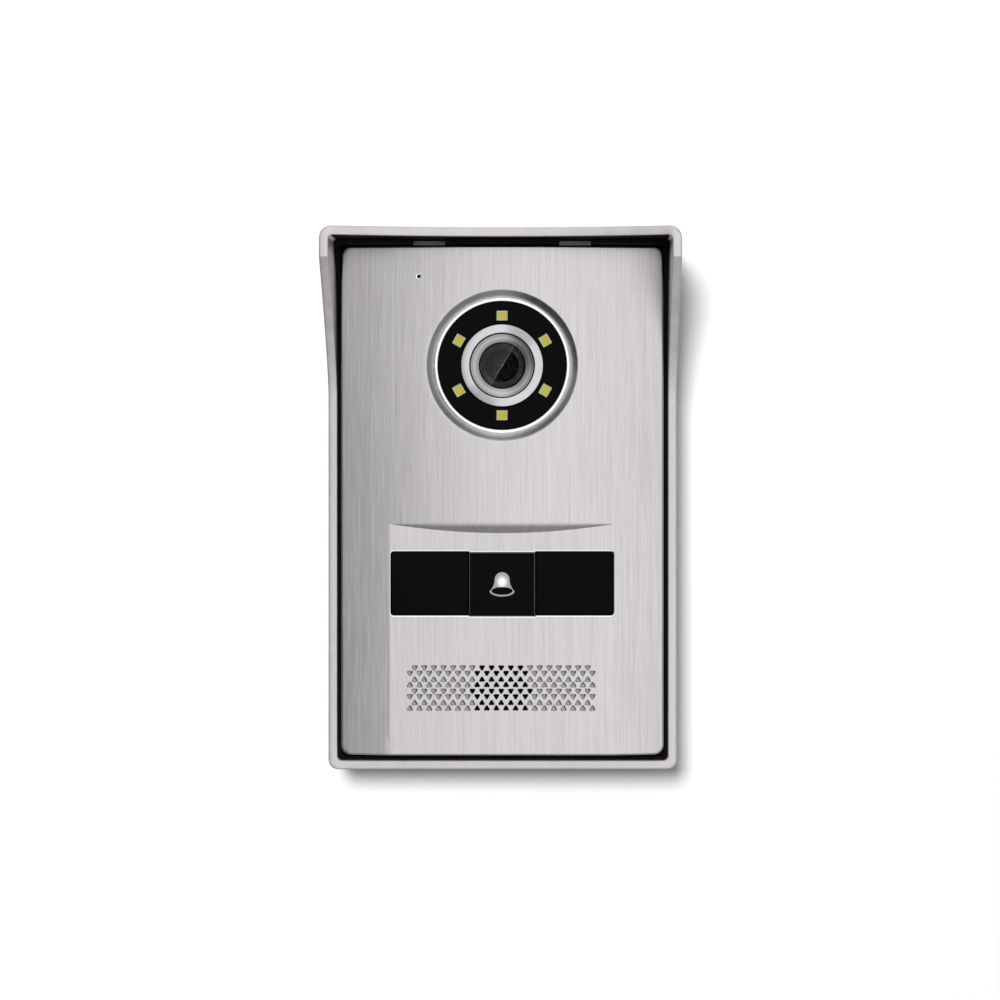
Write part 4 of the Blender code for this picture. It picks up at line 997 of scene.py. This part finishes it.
def make_barrel(black):
    """The lens barrel: a ribbed bezel that falls to the seat of the front glass, and a threaded tail."""
    head, front, tail = span("lens_barrel").x / 2, front_of("lens_barrel") - 0.0003, back_of("lens_barrel")
    glass = span("lens_glass").x / 2
    seat, thread, head_back = back_of("lens_glass") - GAP, 0.0060, front - 0.0042
    bore, edge, thread_edge = 0.0032, 0.0002, 0.0003
    profile = [(bore, tail), (thread - thread_edge, tail), (thread, tail + thread_edge), (thread, head_back),
               (head - edge, head_back), (head, head_back + edge), (head, front - edge), (head - edge, front)]
    ribs, rib_drop, rib_tilt, last_drop = 5, 0.00009, 0.00002, 0.0008
    outer = head - 2 * edge
    run = (outer - glass - 0.0005) / ribs
    for rib in range(ribs):
        radius = outer - rib * run
        profile += [(radius, front - rib_drop * rib), (radius - run * 0.75, front - rib_drop * rib - rib_tilt),
                    (radius - run * 0.8, front - rib_drop * (rib + 1))]
    profile += [(glass + GAP, front - last_drop), (glass + GAP, seat), (bore, seat)]
    barrel = turned("lens_tube", profile, black)
    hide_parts("lens_barrel")


def make_glass(coated, cover, head):
    """The front element with the steps of the cell behind it, and the flat cover glass of the lens head."""
    rim = span("lens_glass").x / 2
    front, back = front_of("lens_glass"), back_of("lens_glass")
    dome, cell_radius = 0.0010, 0.0130
    outer_step, inner_step = (0.42, 0.00012), (0.21, 0.00010)      # share of the radius, and fall within it
    centre = front - dome - (rim ** 2) / (2 * cell_radius)
    profile = [(0, back), (rim, back)]
    for share in (1.0, 0.93, 0.8, 0.66, 0.5, 0.43, 0.41, 0.3, 0.215, 0.2, 0.1, 0.0):
        fall = sum(drop for reach, drop in (outer_step, inner_step) if share < reach)
        profile.append((rim * share, centre + dome * (1 - share ** 2) - fall))
    glass = turned("front_element", profile, coated)
    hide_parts("lens_glass")

    thickness, edge = 0.0003, 0.00008
    low = front_of("lens_barrel") - 0.00025
    radius = head - 0.0001
    profile = [(0, low), (radius, low), (radius, low + thickness - edge), (radius - edge, low + thickness),
               (0, low + thickness)]
    lid = turned("cover_glass", profile, cover)


# ---------------------------------------------------------------- button strip
def make_strip(gloss, painted_edge_highlight, bell_body, bell_inside):
    """Two blank windows with the call button between them."""
    edge = 0.00022
    front = front_of("window_left")
    back = back_of("window_left")
    for name, piece_name in (("window_left", "blank_left"), ("window_right", "blank_right")):
        place, extent = middle(name), span(name)

        def outline(inset, place=place, extent=extent):
            width, height = extent.x - 2 * inset, extent.z - 2 * inset
            return rounded(place.x, place.z, width, height, STRIP_RADIUS - GAP - inset)

        blank = as_piece(piece_name, tablet(bmesh.new(), outline, back, front, edge), [gloss])
        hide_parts(name)
    make_button(gloss, painted_edge_highlight, edge)
    make_bell(bell_body, bell_inside)


def make_button(gloss, painted_edge_highlight, edge):
    """The cap with its rounded edge, its two snap legs and its post."""
    low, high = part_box("call_button")
    front, back = -low.y, -high.y
    cap_back = back_of("window_left")
    width, height, corner = high.x - low.x, span("window_left").z, 0.0005

    def outline(inset):
        return rounded(0, BUTTON_Z, width - 2 * inset, height - 2 * inset, corner - inset)

    shape = tablet(bmesh.new(), outline, cap_back, front, edge)
    leg_half_width, leg_thickness, barb = 0.0030, 0.0016, 0.0009
    barb_run, barb_top, leg_inset = 0.0012, 0.0014, 0.0034
    lap = 0.0001
    for side in (-1, 1):
        inner = side * (height / 2 - leg_inset)
        outer = inner + side * leg_thickness
        tip = outer + side * barb
        section = [(inner, cap_back - lap), (inner, back), (outer, back), (tip, back + barb_run),
                   (tip, back + barb_top), (outer, back + barb_top), (outer, cap_back - lap)]
        skin(shape, [[(x, -depth, BUTTON_Z + z) for z, depth in section]
                     for x in (-leg_half_width, leg_half_width)])
    post_radius = 0.0030
    post = circle(0, BUTTON_Z, post_radius, 32)
    post_back = front_of("switch_stem") + GAP
    skin(shape, [at_depth(post, post_back), at_depth(post, cap_back - lap)])
    button = as_piece("button_cap", shape, [gloss, painted_edge_highlight], "button")
    # the rounded front edge takes a lighter grey as a painted highlight
    for face in button.data.polygons:
        if front - edge < -face.center.y < front:
            face.material_index = 1
    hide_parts("call_button")


def bell_profile():
    """Half of the bell's outline, from the crown down to the lip: (distance from its middle, height)."""
    extent = span("bell_icon")
    top, half = extent.z / 2, extent.x / 2
    lip = -top + extent.z * 0.22
    dome = half * 0.60
    waist = top - dome
    points = [polar(0, waist, dome, turn) for turn in spread(90, 0, 9)]
    for share in spread(0.0, 1.0, 9)[1:]:
        flare = dome * (1 + 0.14 * share) + (half - 1.14 * dome) * share ** 2.6
        points.append((flare, waist + (lip - waist) * share))
    return points, lip, half


def make_bell(body, dark):
    """The call symbol: a bell seen from a little below, with the oval of its mouth."""
    right, lip, half = bell_profile()
    front, back = front_of("bell_icon"), front_of("call_button")
    droop = lip + span("bell_icon").z / 2
    under = oval(lip, half, droop, spread(0, -180, 17))
    outline = right[:-1] + under + [(-x, z) for x, z in reversed(right[1:-1])]
    centre_z = middle("bell_icon").z
    raised = 0.00004

    def moved(points, factor=1.0):
        return [(x * factor, centre_z + z * factor) for x, z in points]

    root = 0.0004                 # how deep the icon sits in the button
    rings = [at_depth(moved(outline), back - root), at_depth(moved(outline), front + raised),
             at_depth(moved(outline, 0.97), front + 2 * raised)]
    shape = skin(bmesh.new(), rings)
    bell = as_piece("bell", shape, [body], "button")
    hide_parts("bell_icon")
    mouth = bmesh.new()
    rim = oval(lip + 0.02 * half, 0.85 * half, 0.84 * 0.86 * droop, spread(0, 350, 36))
    skin(mouth, [at_depth(moved(rim), front - 0.0001), at_depth(moved(rim), front + 3 * raised)])
    hollow = as_piece("bell_mouth", mouth, [dark], "button")


# ---------------------------------------------------------------- CAD nodes that keep their shape
def dress(finish, *nodes):
    """Give CAD nodes a better material."""
    for node in nodes:
        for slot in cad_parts[node].material_slots:
            slot.material = finish


def soften(width, *nodes):
    """Round the edges of CAD nodes."""
    for node in nodes:
        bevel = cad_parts[node].modifiers.new("edge", "BEVEL")
        bevel.width = width
        bevel.segments = 2
        bevel.limit_method = "ANGLE"
        bevel.angle_limit = math.radians(40)
        bevel.harden_normals = False


def numbered(stem, count):
    """Names of numbered nodes."""
    return [f"{stem}_{number}" for number in range(1, count + 1)]


def dress_hidden_parts(rubber):
    """Materials of everything that stays as the CAD has it."""
    dress(rubber, "weather_liner")
    dress(grained("housing_plastic", (0.012, 0.012, 0.013), (0.026, 0.026, 0.028), 0.55, grain=2600,
                  bump=0.35),
          "rear_housing", "camera_carrier", "lens_mount", "button_carrier", "tact_switch", "relay",
          "network_jack")
    dress(grained("zinc_plate", (0.12, 0.12, 0.123), (0.20, 0.20, 0.20), 0.42, 0.85, grain=260),
          "wall_bracket", "speaker_frame")
    dress(grained("board_green", (0.010, 0.060, 0.028), (0.020, 0.120, 0.055), 0.38, grain=420),
          "led_board", "camera_board", "main_board")
    dress(grained("tinned_steel", (0.48, 0.48, 0.49), (0.62, 0.62, 0.62), 0.34, 0.95, grain=380),
          "shield_can", "capacitor", "microphone_capsule")
    dress(grained("foam_grey", (0.035, 0.035, 0.035), (0.09, 0.09, 0.09), 0.92, grain=3200, bump=0.8,
                  depth=0.0001),
          "speaker_gasket")
    dress(grained("cone_paper", (0.018, 0.018, 0.018), (0.045, 0.043, 0.040), 0.85, grain=1800, bump=0.5),
          "speaker_cone")
    dress(grained("magnet_iron", (0.17, 0.17, 0.175), (0.30, 0.30, 0.30), 0.40, 0.9, grain=340),
          "speaker_magnet")
    dress(grained("terminal_green", (0.030, 0.200, 0.080), (0.060, 0.330, 0.140), 0.48, grain=2200),
          "terminal_block")
    dress(grained("stem_red", (0.25, 0.015, 0.015), (0.42, 0.035, 0.035), 0.45, grain=2200), "switch_stem")
    dress(grained("ribbon_amber", (0.34, 0.14, 0.025), (0.55, 0.27, 0.060), 0.36, grain=900), "camera_ribbon")
    dress(grained("sensor_silicon", (0.030, 0.036, 0.060), (0.075, 0.080, 0.130), 0.18, 0.4, grain=5200),
          "image_sensor")
    dress(grained("seal_rubber", (0.016, 0.016, 0.016), (0.040, 0.040, 0.040), 0.75, grain=1500, bump=0.4),
          "panel_seal", "microphone_boot")
    dress(woven("speaker_cloth", (0.004, 0.004, 0.004), (0.016, 0.016, 0.016), 0.00022), "speaker_mesh")
    zinc = (0.42, 0.41, 0.37), (0.62, 0.61, 0.56)
    screws = numbered("housing_screw", 4) + numbered("wall_screw", 4) + numbered("board_screw", 4)
    dress(threaded("screw_zinc", *zinc, "Y", 0.0007), *screws)
    dress(threaded("lock_screw_zinc", *zinc, "Z", 0.0005), "locking_screw")
    soften(0.00025, "wall_bracket", "rear_housing", "network_jack", "terminal_block", "locking_screw")
    soften(0.00020, "weather_liner")


# ---------------------------------------------------------------- finishes of the new pieces
def bell_finish():
    """Frosted white plastic with a painted glow, brightest where a lamp behind it would shine through."""
    made = Finish("icon_white", 0.35)
    place = middle("bell_icon")
    scale = 1.0 / span("bell_icon").z
    lamp = (place.x, place.y, place.z + 0.10 * span("bell_icon").z)
    glow = made.between(made.spot(lamp, 3.0 * scale, 2.7 * scale), 0.1, 0.9, 0.0, 1.0, smooth=True)
    speck = made.noise(made.place, 3000.0, 2.0)
    grey = made.blend(speck, (0.34, 0.34, 0.36), (0.39, 0.39, 0.41))
    made.colour(made.blend(glow, grey, (0.95, 0.95, 0.96)))
    made.links.new(made.blend(glow, (0.0, 0.0, 0.0), (1.0, 1.0, 1.0)), made.shader.inputs["Emission Color"])
    made.shader.inputs["Emission Strength"].default_value = 0.12
    return made.material


def phosphor_finish():
    """Yellow phosphor gel with a fine grain."""
    made = Finish("lamp_phosphor", 0.30)
    grain = made.noise(made.place, 5200.0, 3.0)
    made.colour(made.shade(grain, 0.3, 0.7, (0.42, 0.385, 0.030), (0.54, 0.495, 0.055)))
    made.bump(grain, 0.25, 0.00002)
    return made.material


def coated_finish(centre):
    """Coated optical glass over a dark cell: nearly black, with a painted red glint at its very centre."""
    made = Finish("lens_coated", 0.30, Specular_IOR_Level=0.05)
    tightness = 1.0 / 0.00052
    haze = made.noise(made.place, 500.0, 2.0)
    dark = made.blend(haze, (0.0022, 0.0022, 0.0028), (0.0042, 0.0042, 0.0052))
    painted_glint = made.spot(centre, tightness, tightness)
    made.colour(made.shade(painted_glint, 0.1, 0.7, dark, (0.50, 0.035, 0.045), True))
    return made.material


def cover_finish(centre):
    """The thin cover glass of the lens, with a painted reflection that it emits: a pale sheen over one half
    that ends in a bright line.
    """
    made = Finish("lens_cover", 0.0, IOR=1.06, Transmission_Weight=1.0)
    haze = made.noise(made.place, 300.0, 2.0)
    made.colour(made.blend(haze, (0.93, 0.93, 0.95), (0.98, 0.98, 0.99)))
    aside = made.along(centre, SHEEN_ANGLE)
    start, end = SHEEN_LINE_HALF
    # painted reflection: a pale sheen on one side of a line across the glass, and a bright line along it
    sheen = made.math("MULTIPLY", made.between(aside, 0.0, start, 0.0, 1.0),
                      made.between(aside, 0.0, SHEEN_REACH, SHEEN, 0.4 * SHEEN))
    line = made.between(made.math("ABSOLUTE", aside), start, end, SHEEN_LINE, 0.0, True)
    made.links.new(made.math("ADD", sheen, line), made.shader.inputs["Emission Strength"])
    made.shader.inputs["Emission Color"].default_value = (0.95, 0.97, 1.0, 1.0)
    return made.material


# ---------------------------------------------------------------- stage, light and camera
def make_camera():
    data = bpy.data.cameras.new("camera")
    data.lens = CAMERA_LENS
    data.sensor_width = 36.0
    data.shift_x, data.shift_y = CAMERA_SHIFT
    camera = in_scene("camera", data)
    camera.location = CAMERA_PLACE
    camera.rotation_euler = (math.pi / 2, 0, 0)
    bpy.context.scene.camera = camera


def flat_stage(name, corners, finish):
    """A flat piece of the stage that is not seen in the object's metal and doesn't light it."""
    mesh = bpy.data.meshes.new(name)
    mesh.from_pydata(corners, [], [(0, 1, 2, 3)])
    mesh.materials.append(finish)
    made = in_scene(name, mesh)
    made.visible_diffuse = False
    made.visible_glossy = False
    return made


def wall_finish():
    """White wall that is seen from its front only, so that views from behind look through it."""
    made = Finish("stage_wall", 0.9, Specular_IOR_Level=0.0)
    cloud = made.noise(made.place, 3.0, 2.0)
    made.colour(made.blend(cloud, (0.36, 0.36, 0.36), (0.37, 0.37, 0.37)))
    made.shader.inputs["Emission Color"].default_value = (1.0, 1.0, 1.0, 1.0)
    made.shader.inputs["Emission Strength"].default_value = WALL_GLOW
    side = made.nodes.new("ShaderNodeNewGeometry").outputs["Backfacing"]
    made.show_either(side, made.shader, made.nodes.new("ShaderNodeBsdfTransparent"), "Material Output")
    return made.material


def make_stage():
    """The wall behind the hood and a floor far below it."""
    y, reach, low = WALL_BEHIND, STAGE_REACH, -FLOOR_BELOW
    wall = flat_stage("stage_wall", [(-reach, y, low), (reach, y, low), (reach, y, reach),
                                     (-reach, y, reach)], wall_finish())
    wall.visible_transmission = False
    wall.visible_shadow = False
    pale = grained("stage_floor", (0.74, 0.74, 0.74), (0.78, 0.78, 0.78), 0.8, grain=40, bump=0.0)
    flat_stage("stage_floor", [(-reach, -reach, low), (reach, -reach, low), (reach, reach, low),
                               (-reach, reach, low)], pale)
    return wall


def make_world():
    """A soft white studio, dimmer below, behind and to the left, seen as plain white by the camera."""
    world = bpy.data.worlds.new("studio")
    bpy.context.scene.world = world
    made = Graph(world)
    way = made.nodes.new("ShaderNodeSeparateXYZ")
    made.links.new(made.nodes.new("ShaderNodeTexCoord").outputs["Generated"], way.inputs[0])

    def ramp(axis, *run):
        return made.between(way.outputs[axis], *run, True)

    left = made.math("MAXIMUM", ramp(*WORLD_LEFT), ramp(*WORLD_LEFT_RISE))
    level = made.math("MAXIMUM", ramp(*WORLD_FRONT), ramp(*WORLD_BEHIND))
    for factor in (ramp(*WORLD_RISE), ramp(*WORLD_ABOVE), left, ramp(*WORLD_RIGHT)):
        level = made.math("MULTIPLY", level, factor)
    light = made.nodes["Background"]
    made.links.new(level, light.inputs["Strength"])
    light.inputs["Color"].default_value = (1.0, 0.985, 0.980, 1.0)
    plain = made.nodes.new("ShaderNodeBackground")
    plain.inputs["Color"].default_value = (0.90, 0.90, 0.90, 1.0)
    by_camera = made.nodes.new("ShaderNodeLightPath").outputs["Is Camera Ray"]
    made.show_either(by_camera, light, plain, "World Output")


def area_light(name, size, power):
    """A rectangular light at the upper left that looks at the panel."""
    data = bpy.data.lights.new(name, "AREA")
    data.shape = "RECTANGLE"
    data.size, data.size_y = size
    data.energy = power
    light = in_scene(name, data)
    light.location = LIGHT_PLACE
    light.rotation_euler = (-Vector(LIGHT_PLACE)).to_track_quat("-Z", "Y").to_euler()
    light.visible_glossy = False
    return light


def make_lights(wall):
    """The key light, and its stronger twin that shines on the wall only."""
    area_light("key", KEY_SIZE, KEY_POWER)
    receivers = bpy.data.collections.new("wall_wash_receivers")
    receivers.objects.link(wall)
    area_light("wall_wash", WALL_SIZE, WALL_POWER).light_linking.receiver_collection = receivers


def main():
    bpy.context.scene.view_settings.view_transform = "Standard"
    make_camera()
    make_world()
    make_lights(make_stage())
    lens_centre = middle("lens_trim")
    paint = grained("hood_paint", (0.61, 0.587, 0.582), (0.74, 0.714, 0.708), 0.38, 0.45, grain=5200,
                    bump=0.10, depth=0.00002)
    aluminium = brushed("brushed_aluminium", (0.600, 0.590, 0.587), (0.812, 0.800, 0.797), 0.35,
                        (4300.0, 60.0), 0.14, Anisotropic=0.35)
    # the dimples' brushed metal is darker than the rest as painted shade in the pits
    pit_shade_metal = brushed("pit_shaded_aluminium", (0.38, 0.374, 0.371), (0.52, 0.512, 0.510), 0.40,
                     (3000.0, 110.0), 0.13)
    machined = lathed("turned_aluminium", (0.60, 0.60, 0.60), (0.68, 0.68, 0.68), 0.30,
                      lens_centre, 0.00016, 0.3)
    chrome = lathed("trim_metal", (0.88, 0.88, 0.88), (0.95, 0.95, 0.95), 0.12, lens_centre, 0.00010, 0.0)
    # the lens ring's darker sectors are a painted reflection
    ring_metal = lathed("lens_ring_metal", (0.62, 0.62, 0.64), (0.68, 0.68, 0.70), 0.30,
                        lens_centre, 0.00012, 0.2, sectors=0.55)
    dish_metal = lathed("lens_dish_metal", (0.72, 0.72, 0.71), (0.78, 0.78, 0.77), 0.36,
                        lens_centre, 0.00014, 0.0)
    rubber = grained("liner_rubber", (0.0020, 0.0020, 0.0022), (0.0050, 0.0050, 0.0055), 0.70, grain=1500,
                     bump=0.3, Specular_IOR_Level=0.10)
    gloss = glass_black("window_black", 0.04, 0.20)
    black = grained("lens_black", (0.005, 0.005, 0.0055), (0.010, 0.010, 0.011), 0.32, grain=3000, bump=0.1,
                    Specular_IOR_Level=0.15)
    package = grained("lamp_package", (0.62, 0.61, 0.57), (0.76, 0.75, 0.71), 0.42, grain=4200, bump=0.1)
    dark = grained("bell_hollow", (0.0012, 0.0012, 0.0012), (0.003, 0.003, 0.0033), 0.5, grain=3000, bump=0.1,
                   Specular_IOR_Level=0.04)
    # a lighter grey for the button's front edge, a painted highlight
    painted_edge_highlight = grained("button_bevel", (0.055, 0.054, 0.052), (0.120, 0.118, 0.115), 0.40, grain=1400, bump=0.1)
    make_hood(paint, rubber)
    make_panel(aluminium, machined, chrome, pit_shade_metal, rubber)
    make_camera_trim(chrome)
    make_camera_window(gloss)
    make_lamps(package, phosphor_finish())
    make_lens(ring_metal, dish_metal, black, coated_finish(lens_centre), cover_finish(lens_centre))
    make_strip(gloss, painted_edge_highlight, bell_finish(), dark)
    dress_hidden_parts(rubber)


main()
